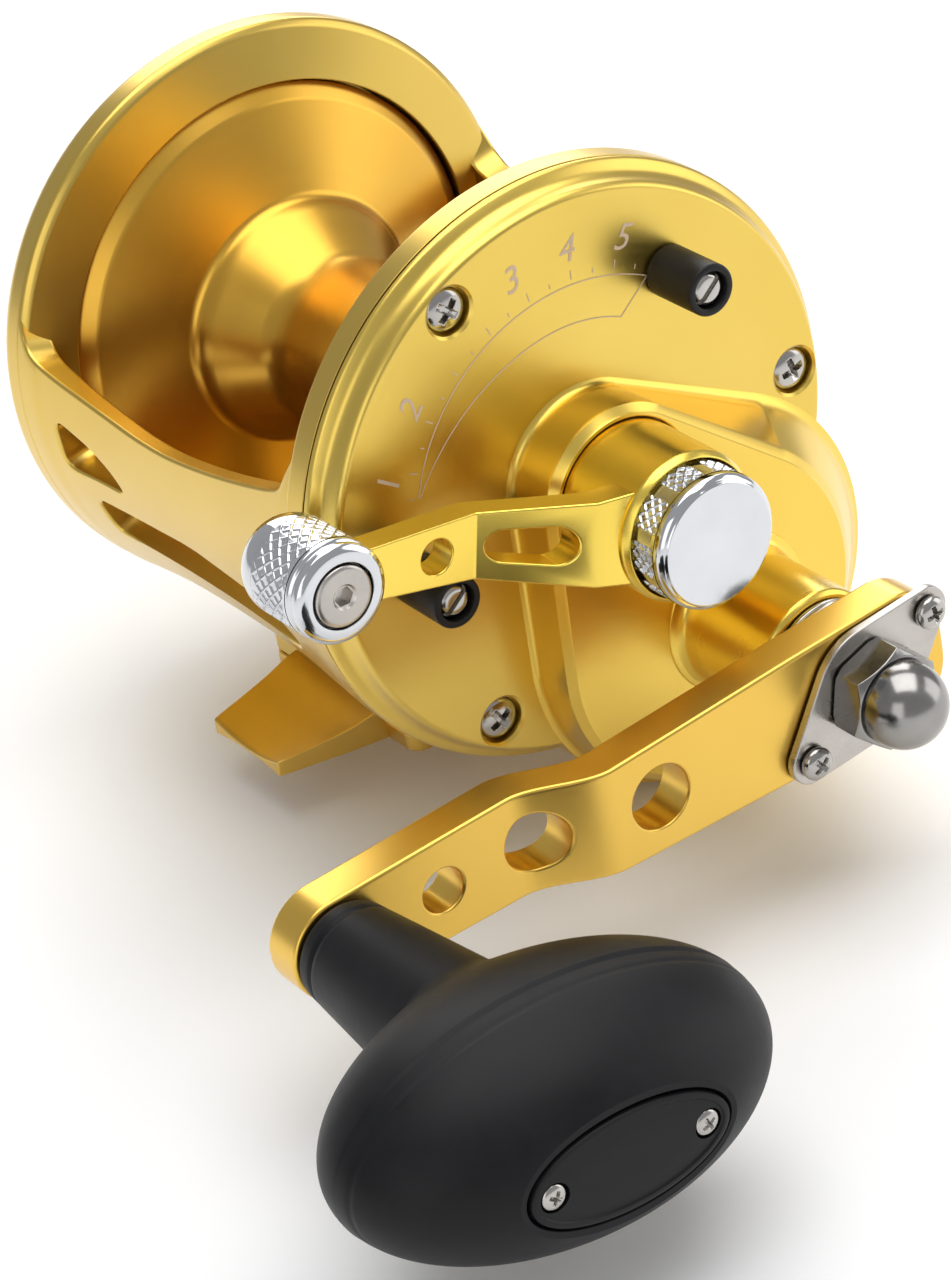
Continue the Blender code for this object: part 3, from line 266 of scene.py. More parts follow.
def grid_faces(bm, rings, wrap):
    """Join rows of vertices with faces; shared corners are allowed."""
    for near, far in zip(rings, rings[1:]):
        count = len(near)
        for index in range(count if wrap else count - 1):
            after = (index + 1) % count
            corners = []
            for corner in (near[index], near[after], far[after], far[index]):
                if corner not in corners:
                    corners.append(corner)
            if len(corners) > 2:
                bm.faces.new(corners)


def skinned(rings):
    """A closed skin over rings of (x, y, z) points, with flat ends."""
    bm = bmesh.new()
    rows = [[bm.verts.new(point) for point in ring] for ring in rings]
    grid_faces(bm, rows, True)
    bm.faces.new(rows[0])
    bm.faces.new(rows[-1])
    return bm


def revolved(profile, segments, axis=SPOOL_AXIS):
    """Turn a closed (x, radius) profile about an X axis."""
    bm = bmesh.new()
    rings = []
    for step in range(segments):
        y, z = polar(1.0, 360.0 * step / segments)
        row = []
        for index, (x, radius) in enumerate(profile):
            if radius == 0.0 and rings:
                row.append(rings[0][index])
            else:
                row.append(bm.verts.new((x, axis[1] + radius * y, axis[2] + radius * z)))
        rings.append(row)
    rings.append(rings[0])
    grid_faces(bm, rings, True)
    return bm


def soft_turned(profile, segments, axis=SPOOL_AXIS):
    """Turn a profile with its corners rounded."""
    return revolved(softened(profile), segments, axis)


def lofted(outlines, stations):
    """Skin (y, z) outlines that stand at stations along X."""
    return skinned([[(x, y, z) for y, z in outline] for outline, x in zip(outlines, stations)])


def box(low, high):
    outline = [(low[1], low[2]), (high[1], low[2]), (high[1], high[2]), (low[1], high[2])]
    return lofted([outline] * 2, (low[0], high[0]))


def cylinder(x_start, x_end, radius, segments=TINY, axis=SPOOL_AXIS):
    return revolved([(x_start, 0.0), (x_start, radius), (x_end, radius), (x_end, 0.0)], segments, axis)


def offset_outline(points, distance):
    """A closed outline grown by a distance along its outward normals."""
    count = len(points)
    pairs = [(points[index], points[(index + 1) % count]) for index in range(count)]
    area = sum(first[0] * second[1] - second[0] * first[1] for first, second in pairs)
    sign = 1.0 if area > 0.0 else -1.0
    grown = []
    for index, point in enumerate(points):
        run = Vector(points[(index + 1) % count]) - Vector(points[index - 1])
        run.normalize()
        grown.append((point[0] + sign * distance * run.y, point[1] - sign * distance * run.x))
    return grown


def upright(outline, low, high):
    """Extrude an (x, y) outline along Z."""
    return skinned([[(x, y, z) for x, y in outline] for z in (low, high)])


def rounded_rectangle(half_x, half_y, radius, steps=10):
    points = []
    for sign_x, sign_y, start in ((1, 1, 0.0), (-1, 1, 90.0), (-1, -1, 180.0), (1, -1, 270.0)):
        centre = (sign_x * (half_x - radius), sign_y * (half_y - radius))
        points += circle(centre, radius, steps, start, 90.0)
    return points


def turned(bm, angle, axis=SPOOL_AXIS):
    bmesh.ops.rotate(bm, verts=bm.verts, cent=axis, matrix=Matrix.Rotation(radians(angle), 3, "X"))
    return bm


def moved(bm, offset):
    bmesh.ops.translate(bm, verts=bm.verts, vec=offset)
    return bm


def temporary(bm):
    """A bmesh as an object for modifiers to work on."""
    bmesh.ops.recalc_face_normals(bm, faces=bm.faces)
    mesh = bpy.data.meshes.new("tool")
    bm.to_mesh(mesh)
    bm.free()
    item = bpy.data.objects.new("tool", mesh)
    bpy.context.collection.objects.link(item)
    return item


def evaluated(item):
    """The mesh of a temporary object with its modifiers applied, as a bmesh; the object is removed."""
    bpy.context.view_layer.update()
    shown = item.evaluated_get(bpy.context.evaluated_depsgraph_get())
    result = bmesh.new()
    result.from_mesh(shown.to_mesh())
    shown.to_mesh_clear()
    bpy.data.objects.remove(item, do_unlink=True)
    return result


def cut(base, *tools):
    """Take each tool's shape away from the base."""
    for tool in tools:
        base_item = temporary(base)
        tool_item = temporary(tool)
        modifier = base_item.modifiers.new("cut", "BOOLEAN")
        modifier.operation = "DIFFERENCE"
        modifier.object = tool_item
        modifier.solver = "EXACT"
        base = evaluated(base_item)
        bpy.data.objects.remove(tool_item, do_unlink=True)
    return base


def edged(bm, width, segments=3, angle=38.0):
    """Round the sharp edges of a closed shape."""
    item = temporary(bm)
    modifier = item.modifiers.new("edge", "BEVEL")
    modifier.width = width
    modifier.segments = segments
    modifier.limit_method = "ANGLE"
    modifier.angle_limit = radians(angle)
    modifier.use_clamp_overlap = False
    return evaluated(item)


def together(*shells):
    """Several shapes as one bmesh, each with its faces turned out."""
    result = bmesh.new()
    for shell in shells:
        mesh = bpy.data.meshes.new("shell")
        bmesh.ops.recalc_face_normals(shell, faces=shell.faces)
        shell.to_mesh(mesh)
        shell.free()
        result.from_mesh(mesh)
        bpy.data.meshes.remove(mesh)
    return result


def piece(name, bm, look, body, nodes, smooth=32.0):
    """Turn a bmesh in millimetres into a named piece that rides on a body and stands for CAD nodes."""
    bmesh.ops.recalc_face_normals(bm, faces=bm.faces)
    bmesh.ops.scale(bm, verts=bm.verts, vec=(MM, MM, MM))
    mesh = bpy.data.meshes.new(name)
    bm.to_mesh(mesh)
    bm.free()
    mesh.materials.append(look)
    mesh.shade_smooth()
    mesh.set_sharp_from_angle(angle=radians(smooth))
    item = bpy.data.objects.new(name, mesh)
    bpy.context.collection.objects.link(item)
    weighted = item.modifiers.new("weighted", "WEIGHTED_NORMAL")
    weighted.keep_sharp = True
    weighted.weight = 80
    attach(item, body)
    if nodes:
        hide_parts(*nodes)


# ---- materials
class Nodes:
    """A material's node tree with short ways to add and link nodes."""

    def __init__(self, name):
        self.material = bpy.data.materials.new(name)
        self.material.use_nodes = True
        self.tree = self.material.node_tree
        self.shader = self.tree.nodes["Principled BSDF"]

    def add(self, kind, **settings):
        node = self.tree.nodes.new(kind)
        for key, value in settings.items():
            setattr(node, key, value)
        return node

    def link(self, source, target):
        self.tree.links.new(source, target)

    def set(self, **values):
        for key, value in values.items():
            self.shader.inputs[key.replace("_", " ")].default_value = value

    def position(self, stretch=(1.0, 1.0, 1.0)):
        """Object coordinates, stretched along each axis."""
        source = self.add("ShaderNodeTexCoord")
        mapping = self.add("ShaderNodeMapping")
        mapping.inputs["Scale"].default_value = stretch
        self.link(source.outputs["Object"], mapping.inputs["Vector"])
        return mapping.outputs["Vector"]

    def noise(self, vector, scale, detail=3.0, rough=0.55):
        node = self.add("ShaderNodeTexNoise")
        node.inputs["Scale"].default_value = scale
        node.inputs["Detail"].default_value = detail
        node.inputs["Roughness"].default_value = rough
        self.link(vector, node.inputs["Vector"])
        return node.outputs["Fac"]

    def spread(self, value, low, high, start=0.3, end=0.7):
        """Map a 0 to 1 value onto low to high."""
        node = self.add("ShaderNodeMapRange")
        node.inputs["From Min"].default_value = start
        node.inputs["From Max"].default_value = end
        node.inputs["To Min"].default_value = low
        node.inputs["To Max"].default_value = high
        self.link(value, node.inputs["Value"])
        return node.outputs["Result"]

    def colours(self, value, first, second):
        node = self.add("ShaderNodeMix", data_type="RGBA")
        node.inputs["A"].default_value = (*first, 1.0)
        node.inputs["B"].default_value = (*second, 1.0)
        self.link(value, node.inputs["Factor"])
        return node.outputs["Result"]

    def maths(self, operation, first, second=None):
        node = self.add("ShaderNodeMath", operation=operation)
        for socket, value in zip(node.inputs, (first, second)):
            if isinstance(value, (int, float)):
                socket.default_value = value
            elif value is not None:
                self.link(value, socket)
        return node.outputs["Value"]

    def bump(self, height, strength, distance):
        node = self.add("ShaderNodeBump")
        node.inputs["Strength"].default_value = strength
        node.inputs["Distance"].default_value = distance
        self.link(height, node.inputs["Height"])
        return node.outputs["Normal"]

    def finish(self, colour=None, roughness=None, normal=None):
        for value, name in ((colour, "Base Color"), (roughness, "Roughness"), (normal, "Normal")):
            if value is not None:
                self.link(value, self.shader.inputs[name])
        return self.material


def turning_marks(nodes, axis, pitch=0.8):
    """Fine concentric lathe lines around an X axis, as a value from 0 to 1."""
    source = nodes.add("ShaderNodeTexCoord")
    split = nodes.add("ShaderNodeSeparateXYZ")
    nodes.link(source.outputs["Object"], split.inputs["Vector"])
    y = nodes.maths("SUBTRACT", split.outputs["Y"], axis[1] * MM)
    z = nodes.maths("SUBTRACT", split.outputs["Z"], axis[2] * MM)
    squares = nodes.maths("ADD", nodes.maths("MULTIPLY", y, y), nodes.maths("MULTIPLY", z, z))
    distance = nodes.maths("ADD", nodes.maths("SQRT", squares), split.outputs["X"])
    lines = nodes.add("ShaderNodeTexNoise", noise_dimensions="1D")
    lines.inputs["Scale"].default_value = 1.0 / (pitch * MM)
    lines.inputs["Detail"].default_value = 2.0
    nodes.link(distance, lines.inputs["W"])
    return lines.outputs["Fac"]


def gold(name, deep, pale, roughness, turned_about=None, anisotropy=0.0):
    """Satin anodised aluminium: faint bead-blast grain, uneven dye and optional lathe lines."""
    nodes = Nodes(name)
    nodes.set(Metallic=1.0, Anisotropic=anisotropy, Coat_Weight=0.30, Coat_Roughness=0.30)
    where = nodes.position()
    patches = nodes.noise(where, 40.0, 1.0)
    colour = nodes.colours(nodes.spread(patches, 0.0, 1.0), deep, pale)
    rubbed = nodes.noise(where, 130.0, 2.0)
    rough = nodes.spread(rubbed, roughness - 0.012, roughness + 0.018)
    grain = nodes.noise(where, 6500.0, 1.0)
    normal = nodes.bump(grain, 0.05, 0.00001)
    if turned_about:
        lines = turning_marks(nodes, turned_about)
        rough = nodes.maths("ADD", rough, nodes.spread(lines, -0.012, 0.016))
    if anisotropy:
        tangent = nodes.add("ShaderNodeTangent", direction_type="RADIAL", axis="X")
        nodes.link(tangent.outputs["Tangent"], nodes.shader.inputs["Tangent"])
    return nodes.finish(colour, rough, normal)


def bright_metal(name, dark, light, roughness, grain_scale, grain, stretch=(1.0, 1.0, 1.0)):
    """Plated or machined metal: handling haze, and a grain that may be stretched into brush lines."""
    nodes = Nodes(name)
    nodes.set(Metallic=1.0)
    where = nodes.position()
    haze = nodes.noise(where, 120.0, 4.0)
    colour = nodes.colours(nodes.spread(haze, 0.0, 1.0), dark, light)
    brushed = nodes.noise(nodes.position(stretch), grain_scale, 3.0)
    rough = nodes.maths("ADD", nodes.spread(haze, roughness * 0.8, roughness * 1.25),
                        nodes.spread(brushed, -0.02, 0.03))
    return nodes.finish(colour, rough, nodes.bump(brushed, grain, 0.00002))


def moulded(name, dark, light, roughness, grain, grain_size):
    """Rubber or plastic: moulded grain, dusty handling patches."""
    nodes = Nodes(name)
    nodes.set(Specular_IOR_Level=0.22)
    where = nodes.position()
    dust = nodes.noise(where, 85.0, 5.0, 0.65)
    colour = nodes.colours(nodes.spread(dust, 0.0, 1.0, 0.38, 0.72), dark, light)
    rough = nodes.spread(dust, roughness - 0.05, roughness + 0.09)
    skin = nodes.noise(where, grain_size, 3.0)
    return nodes.finish(colour, rough, nodes.bump(skin, grain, 0.00006))


# These golds are one gold anodising in lit and shaded copies: each part's colour is set lighter or darker
# to match how light falls on it, so the differences between them are painted light and shade.
body_gold = gold("gold_satin", (0.66, 0.45, 0.085), (0.70, 0.485, 0.10), 0.29)
plate_gold = gold("gold_plate", (0.75, 0.53, 0.10), (0.79, 0.57, 0.12), 0.31, SPOOL_AXIS)
# Painted shade: the spool's gold is darker and deeper amber, standing in for the shade inside the frame.
spool_gold_painted_shade = gold("gold_spool_painted_shade", (0.68, 0.375, 0.042), (0.72, 0.405, 0.050), 0.30, SPOOL_AXIS, 0.40)
# Painted highlight: the tower's gold is brighter to stand in for the highlight band along its cylinder.
tower_gold_painted_highlight = gold("gold_tower_painted_highlight", (0.86, 0.60, 0.09), (0.90, 0.64, 0.11), 0.25, HANDLE_AXIS)
housing_gold = gold("gold_housing", (0.82, 0.565, 0.09), (0.86, 0.60, 0.11), 0.29)
# Painted highlight: the lever's gold is brighter to stand in for a lamp's reflection on its faces.
lever_gold_painted_highlight = gold("gold_lever_painted_highlight", (0.90, 0.65, 0.10), (0.93, 0.69, 0.12), 0.25)
arm_gold = gold("gold_arm", (0.78, 0.49, 0.080), (0.82, 0.53, 0.095), 0.30)
foot_gold = gold("gold_foot", (0.66, 0.42, 0.080), (0.70, 0.46, 0.10), 0.32)
chrome = bright_metal("chrome", (0.62, 0.63, 0.65), (0.67, 0.68, 0.70), 0.085, 900.0, 0.03)
knurl_chrome = bright_metal("chrome_knurl", (0.60, 0.61, 0.63), (0.70, 0.71, 0.73), 0.16, 2500.0, 0.10)
polished_steel = bright_metal("steel_polished", (0.42, 0.40, 0.38), (0.52, 0.50, 0.47), 0.17, 1500.0,
                              0.06)
# Painted reflection: a darker copy of the polished steel, standing in for the dark reflections on the nut's
# dome.
nut_steel_painted_reflection = bright_metal("steel_nut_painted_reflection", (0.26, 0.25, 0.24), (0.34, 0.33, 0.315), 0.19, 1500.0, 0.06)
brushed_steel = bright_metal("steel_brushed", (0.46, 0.43, 0.40), (0.57, 0.54, 0.50), 0.30, 420.0, 0.35,
                             (1.0, 1.0, 9.0))
gear_steel = bright_metal("gear_steel", (0.36, 0.35, 0.34), (0.50, 0.49, 0.47), 0.34, 1600.0, 0.20)
gear_bronze = bright_metal("gear_bronze", (0.44, 0.28, 0.12), (0.56, 0.38, 0.17), 0.36, 1600.0, 0.20)
rubber = moulded("rubber_black", (0.0040, 0.0040, 0.0050), (0.0085, 0.0085, 0.0100), 0.46, 0.16, 2600.0)
sleeve_rubber = moulded("rubber_sleeve", (0.010, 0.009, 0.009), (0.018, 0.017, 0.017), 0.40, 0.12,
                        3500.0)
cap_plastic = moulded("plastic_cap", (0.004, 0.004, 0.005), (0.008, 0.008, 0.009), 0.40, 0.22, 1900.0)
carbon = moulded("drag_carbon", (0.030, 0.030, 0.033), (0.060, 0.060, 0.065), 0.50, 0.40, 1500.0)
engraved = moulded("laser_mark", (0.60, 0.44, 0.30), (0.68, 0.53, 0.40), 0.55, 0.10, 3000.0)


# ---- frame
def along(table, x):
    """Smooth value of a table of (x, value) points."""
    if x <= table[0][0]:
        return table[0][1]
    for index in range(len(table) - 1):
        low, high = table[index], table[index + 1]
        if x <= high[0]:
            before = table[max(index - 1, 0)]
            after = table[min(index + 2, len(table) - 1)]
            span = high[0] - low[0]
            leave = (high[1] - before[1]) / (high[0] - before[0]) * span
            arrive = (after[1] - low[1]) / (after[0] - low[0]) * span
            t = (x - low[0]) / span
            return ((2 * t ** 3 - 3 * t ** 2 + 1) * low[1] + (t ** 3 - 2 * t ** 2 + t) * leave
                    + (3 * t ** 2 - 2 * t ** 3) * high[1] + (t ** 3 - t ** 2) * arrive)
    return table[-1][1]


def in_front(angle):
    """The angle at the front that mirrors one at the rear, measured on past the bottom."""
    return 540.0 - angle


def wall_section(x, rounding=0.55, around=96):
    """The wall's cross-section at a distance along the spool axis, with its edges rounded."""
    edge = along(WALL_EDGE, x)
    outside = along(WALL_OUTSIDE, x)
    start = edge + degrees(rounding / outside)
    start_inner = edge + degrees(rounding / WALL_INSIDE_R)
    rear = [(edge + (start - edge) * beside, outside - rounding * below) for below, beside in QUARTER[::-1]]
    front = [(in_front(angle), radius) for angle, radius in rear[::-1]]
    sweep = in_front(start) - start
    middle = [(start + sweep * step / around, outside) for step in range(1, around)]
    rear_inner = [(edge + (start_inner - edge) * beside, WALL_INSIDE_R + rounding * below)
                  for below, beside in QUARTER]
    front_inner = [(in_front(angle), radius) for angle, radius in rear_inner[::-1]]
    sweep = in_front(start_inner) - start_inner
    middle_inner = [(in_front(start_inner) - sweep * step / around, WALL_INSIDE_R)
                    for step in range(1, around)]
    loop = rear + middle + front + front_inner + middle_inner + rear_inner
    return [on_plate(radius, angle)[1:] for angle, radius in loop]


def wall_shell():
    """The curved wall under the spool, from the scooped rear edge round to the front one."""
    stations = [WALL_EDGE[0][0]]
    while stations[-1] < WALL_EDGE[-1][0] - 0.1:
        near_ring = stations[-1] < -31.5 or stations[-1] > 29.0
        stations.append(stations[-1] + (0.125 if near_ring else 0.5))
    return lofted([wall_section(x) for x in stations], stations)


def rounded_outline(points, reach):
    """A closed outline with each corner drawn as a short curve."""
    smooth = []
    count = len(points)
    for index, corner in enumerate(points):
        here = Vector(corner)
        before = Vector(points[index - 1]) - here
        after = Vector(points[(index + 1) % count]) - here
        start = here + before.normalized() * min(reach, 0.4 * before.length)
        end = here + after.normalized() * min(reach, 0.4 * after.length)
        smooth += corner_curve(start, here, end, 5)
    return smooth


def wall_cutter(outline, rounding=0.45):
    """A cutter through the wall that rounds the hole's outer rim; the outline is (x, angle)."""
    scale = radians(1.0) * WALL_MIDDLE_R
    flat = rounded_outline([(x, angle * scale) for x, angle in outline], 2.2)
    rows = [(-8.0, 0.0)]
    rows += [(-rounding * below, rounding * beside) for below, beside in QUARTER[::-1]]
    rows.append((3.0, rounding + 3.0))
    rings = []
    for rise, grow in rows:
        grown = offset_outline(flat, grow) if grow else flat
        rings.append([(x, *on_plate(along(WALL_OUTSIDE, x) + rise, arc / scale)[1:]) for x, arc in grown])
    return skinned(rings)


def pedestal():
    """The frame's block over the foot, hollowed to the wall's curve."""
    block = upright(rounded_rectangle(*FOOT_HALF, FOOT_CORNER_R), FOOT_THICKNESS + GAP, 14.0)
    block = cut(block, cylinder(-20.0, 20.0, WALL_INSIDE_R + 0.4, ROUND))
    return edged(block, 0.45)


def build_frame():
    """Both rings, the wall with its holes, the lobe behind the gear housing and the pedestal."""
    left = soft_turned([
        (-38.6, 2.9), (LEFT_FACE_X - 0.9, 2.9), (LEFT_FACE_X - 0.9, 8.3), (LEFT_FACE_X - 3.0, 8.3),
        (LEFT_FACE_X - 3.0, 11.0, 0.5), (LEFT_FACE_X - 2.2, 12.0, 0.5), (LEFT_FACE_X, 12.8, 0.8),
        (LEFT_FACE_X, 38.2, 1.2), (LEFT_FACE_X + 1.2, 39.8, 0.8), (LEFT_EDGE_X - 1.0, 41.4, 1.0),
        (LEFT_EDGE_X + 0.2, FRAME_R, 0.8), (LEFT_RING_X - 0.9, FRAME_R, 0.5),
        (LEFT_RING_X - 0.1, 41.0, 0.35), (LEFT_RING_X + 1.7, BORE_R, 0.3), (-38.6, BORE_R)], ROUND)
    right = soft_turned([
        (30.9, BORE_R, 0.3), (RIGHT_RING_X, 40.9, 0.4), (RIGHT_RING_X + 0.8, FRAME_R, 0.5),
        (SEAM_X - GAP, FRAME_R, 0.15), (SEAM_X - GAP, BORE_R)], ROUND)
    wall = wall_shell()
    for outline in (CORNER_HOLE, LONG_SLOT):
        mirrored = [(x, in_front(angle)) for x, angle in outline]
        wall = cut(wall, wall_cutter(outline), wall_cutter(mirrored))
    lobe = lofted([circle((HANDLE_Y, HANDLE_Z), LOBE_R - 0.05, ROUND)] * 2,
                  (RIGHT_RING_X + 0.2, SEAM_X - GAP - 0.02))
    lobe = cut(lobe, cylinder(28.0, 38.0, BORE_R + 1.5, ROUND),
               cylinder(34.4, 38.0, 25.5, ROUND, HANDLE_AXIS))
    body = together(left, right, wall, edged(lobe, 0.5), pedestal())
    piece("frame_body", body, body_gold, "reel_frame", ["frame"])


# ---- side plate
def housing_shell():
    """Raised gear housing: flared foot, upright wall and a bevelled top."""
    hub = (0.0, AXIS_Z)
    lobe = (HANDLE_Y, HANDLE_Z)
    steps = ((PLATE_X - 1.0, 0.9, 0.0), (PLATE_X + 0.02, 0.9, 0.0), (PLATE_X + 0.25, 0.42, 0.02),
             (PLATE_X + 0.7, 0.12, 0.08), (PLATE_X + 1.4, 0.0, 0.18), (HOUSING_X - 1.5, 0.0, 0.92),
             (HOUSING_X - 1.05, -0.1, 0.97), (HOUSING_X - 0.25, -0.95, 1.0), (HOUSING_X, -1.15, 1.0))
    outlines = []
    for _, grow, share in steps:
        centre = [a + (b - a) * share for a, b in zip(lobe, LOBE_TOP)]
        radius = (LOBE_R - 0.9) + (LOBE_TOP_R - LOBE_R + 0.9) * share
        outlines.append(two_circle_hull(hub, HUB_RING_R, centre, radius, grow))
    bm = lofted(outlines, [step[0] for step in steps])
    recess = revolved([
        (45.2, 0.0), (45.2, HUB_RECESS_R), (HOUSING_X - 0.3, HUB_RECESS_R), (HOUSING_X - 0.1, 10.7),
        (HOUSING_X + 0.1, 10.95), (HOUSING_X + 2.0, 12.5), (HOUSING_X + 2.0, 0.0)], ROUND)
    return cut(bm, recess)


def build_side_plate():
    """The round plate with its stepped rim, the gear housing on it and the handle shaft's tower."""
    disc = soft_turned([
        (SEAM_X, 0.0), (SEAM_X, FRAME_R, 0.15), (37.5, 41.85, 0.3), (38.0, 41.2, 0.5),
        (38.5, 40.45, 0.5), (39.4, 39.95, 0.6), (40.7, 39.65, 0.4), (PLATE_X, 39.1, 0.35),
        (PLATE_X, 0.0)], ROUND)
    for angle in PLATE_SCREW_ANGLES:
        axis = on_plate(PLATE_SCREW_PITCH_R, angle)
        pocket = revolved([
            (PLATE_X - 2.3, 0.0), (PLATE_X - 2.3, 3.35), (PLATE_X - 0.35, 3.35), (PLATE_X + 0.1, 3.85),
            (PLATE_X + 1.0, 4.2), (PLATE_X + 1.0, 0.0)], TINY, axis)
        disc = cut(disc, pocket)
    lobe_steps = ((SEAM_X, -0.1), (SEAM_X + 0.4, 0.0), (PLATE_X - 1.6, 0.0), (PLATE_X - 0.8, -0.25),
                  (PLATE_X - 0.25, -0.8), (PLATE_X - 0.05, -1.5))
    lobe = lofted([circle((HANDLE_Y, HANDLE_Z), LOBE_R + grow, ROUND) for _, grow in lobe_steps],
                  [step[0] for step in lobe_steps])
    tower = soft_turned([
        (HOUSING_X - 1.5, 0.0), (HOUSING_X - 1.5, 11.6), (HOUSING_X + 0.25, 11.6, 0.2),
        (HOUSING_X + 0.4, 10.7, 0.2), (HOUSING_X + 1.0, 9.9, 0.5), (HOUSING_X + 2.4, TOWER_R, 0.8),
        (TOWER_X - 0.7, TOWER_R, 0.3), (TOWER_X, TOWER_R - 0.7, 0.3), (TOWER_X, 7.5, 0.2),
        (TOWER_X - 1.2, 7.3), (TOWER_X - 1.2, 0.0)], FAIR, HANDLE_AXIS)
    piece("plate_disc", disc, plate_gold, "reel_frame", ["side_plate"])
    piece("gear_housing", together(lobe, housing_shell()), housing_gold, "reel_frame", ["side_plate"])
    piece("shaft_tower", tower, tower_gold_painted_highlight, "reel_frame", ["side_plate"])


def ribbon(points):
    """A flat line on the plate through (y, z) points."""
    bm = bmesh.new()
    sides = ([], [])
    for index, point in enumerate(points):
        before = Vector(points[max(index - 1, 0)])
        after = Vector(points[min(index + 1, len(points) - 1)])
        run = (after - before).normalized()
        across = Vector((-run.y, run.x)) * DIAL_LINE / 2
        for side, sign in zip(sides, (1.0, -1.0)):
            side.append(bm.verts.new((DIAL_X, point[0] + sign * across.x, point[1] + sign * across.y)))
    grid_faces(bm, sides, False)
    return bm


def dial_point(radius, angle):
    return on_plate(radius, angle)[1:]


def numeral(text, size, radius, angle):
    """A numeral lying on the plate, its foot towards the spool axis."""
    curve = bpy.data.curves.new("numeral", "FONT")
    curve.body = text
    curve.size = size
    curve.shear = 0.25
    curve.align_x = "CENTER"
    curve.align_y = "CENTER"
    curve.resolution_u = 4
    item = bpy.data.objects.new("numeral", curve)
    bpy.context.collection.objects.link(item)
    bm = evaluated(item)
    across = Vector((0.0, *polar(1.0, angle + 90.0)))
    outward = Vector((0.0, *polar(1.0, angle)))
    for vert in bm.verts:
        vert.co = Vector((DIAL_X, 0.0, AXIS_Z)) + outward * (radius + vert.co.y) - across * vert.co.x
    return bm


def build_dial():
    """The lever's scale: two arcs joined at one end, ticks and numerals."""
    inner_ends = (DIAL_INNER[0][0], DIAL_INNER[-1][0])
    shells = [
        ribbon([dial_point(DIAL_R, angle) for angle in spaced(DIAL_ENDS, 60)]),
        ribbon([dial_point(along(DIAL_INNER, angle), angle) for angle in spaced(inner_ends, 60)]),
        ribbon([dial_point(DIAL_R, DIAL_ENDS[0]), dial_point(DIAL_INNER[0][1], inner_ends[0])])]
    for number, angle in enumerate(NUMERAL_ANGLES, 1):
        shells.append(numeral(str(number), NUMERAL_SIZE, NUMERAL_R, angle))
    for index in range(TICK_COUNT):
        angle = TICK_START + TICK_PITCH * index
        reach = DIAL_R + (2.0 if index % 2 else 1.4)
        shells.append(ribbon([dial_point(DIAL_R + 0.7, angle), dial_point(reach, angle)]))
    piece("dial_marks", together(*shells), engraved, "reel_frame", ())


# ---- fasteners and stops
def phillips(axis, x_under, radius, height, spin):
    """A domed cross-recess screw head along X, with a short shank."""
    shank_length, shank_r = 4.0, radius * 0.42
    dome = [(height * 0.35 + (height * 0.65) * sin(radians(step)), radius * cos(radians(step)))
            for step in range(0, 90, 10)]
    profile = [(-shank_length, 0.0), (-shank_length, shank_r), (0.0, shank_r), (0.0, radius * 0.97)]
    head = revolved(profile + dome + [(height, 0.0)], TINY * 2, ORIGIN)
    slot_length, slot_width = radius * 0.62, radius * 0.10
    floor = (height * 0.15, slot_length * 0.62, slot_width)
    mouth = (height + 0.6, slot_length * 1.15, slot_width * 1.87)
    for turn in (0.0, 90.0):
        slot = skinned([[(x, -long, -wide), (x, long, -wide), (x, long, wide), (x, -long, wide)]
                        for x, long, wide in (floor, mouth)])
        head = cut(head, turned(slot, turn, ORIGIN))
    head = turned(edged(head, radius * 0.025, 2), spin, ORIGIN)
    return moved(head, (x_under, axis[1], axis[2]))


def screw_set(label, node, body, axes, spins, head_sizes):
    """Numbered screws with heads of one size, each turned its own way."""
    for index, (axis, spin) in enumerate(zip(axes, spins), 1):
        piece(f"{label}_{index}", phillips(axis, *head_sizes, spin), polished_steel, body,
              [f"{node}_{index}"])


def build_fasteners():
    """The side plate's screws, and the lever's two stops with theirs."""
    axes = [on_plate(PLATE_SCREW_PITCH_R, angle) for angle in PLATE_SCREW_ANGLES]
    screw_set("plate_screw", "side_plate_screw", "reel_frame", axes, (15.0, 48.0, 30.0),
              (PLATE_X - 1.9, 3.05, 1.65))
    for label, angle in STOP_ANGLES.items():
        axis = on_plate(STOP_PITCH_R, angle)
        sleeve = soft_turned([
            (PLATE_X + GAP, 2.6), (PLATE_X + GAP, STOP_SLEEVE_R, 0.3),
            (STOP_SLEEVE_X, STOP_SLEEVE_R, 0.7), (STOP_SLEEVE_X, 2.6, 0.25)], FAIR, axis)
        piece(f"{label}_sleeve", sleeve, sleeve_rubber, "reel_frame",
              [f"{label}_stop_sleeve"])
        pin = soft_turned([
            (38.6, 0.0), (38.6, 1.2), (PLATE_X + 0.5, 1.2), (PLATE_X + 0.5, 2.35),
            (STOP_SLEEVE_X - 0.9, 2.35, 0.2), (STOP_SLEEVE_X - 0.4, 1.7, 0.3),
            (STOP_SLEEVE_X - 0.4, 0.0)], FAIR, axis)
        slot = box((STOP_SLEEVE_X - 1.3, axis[1] - 3.0, axis[2] - 0.35),
                   (STOP_SLEEVE_X + 1.0, axis[1] + 3.0, axis[2] + 0.35))
        pin = edged(cut(pin, turned(slot, 40.0, axis)), 0.07, 2)
        piece(f"{label}_screw", pin, polished_steel, "reel_frame",
              [f"{label}_stop_screw"])


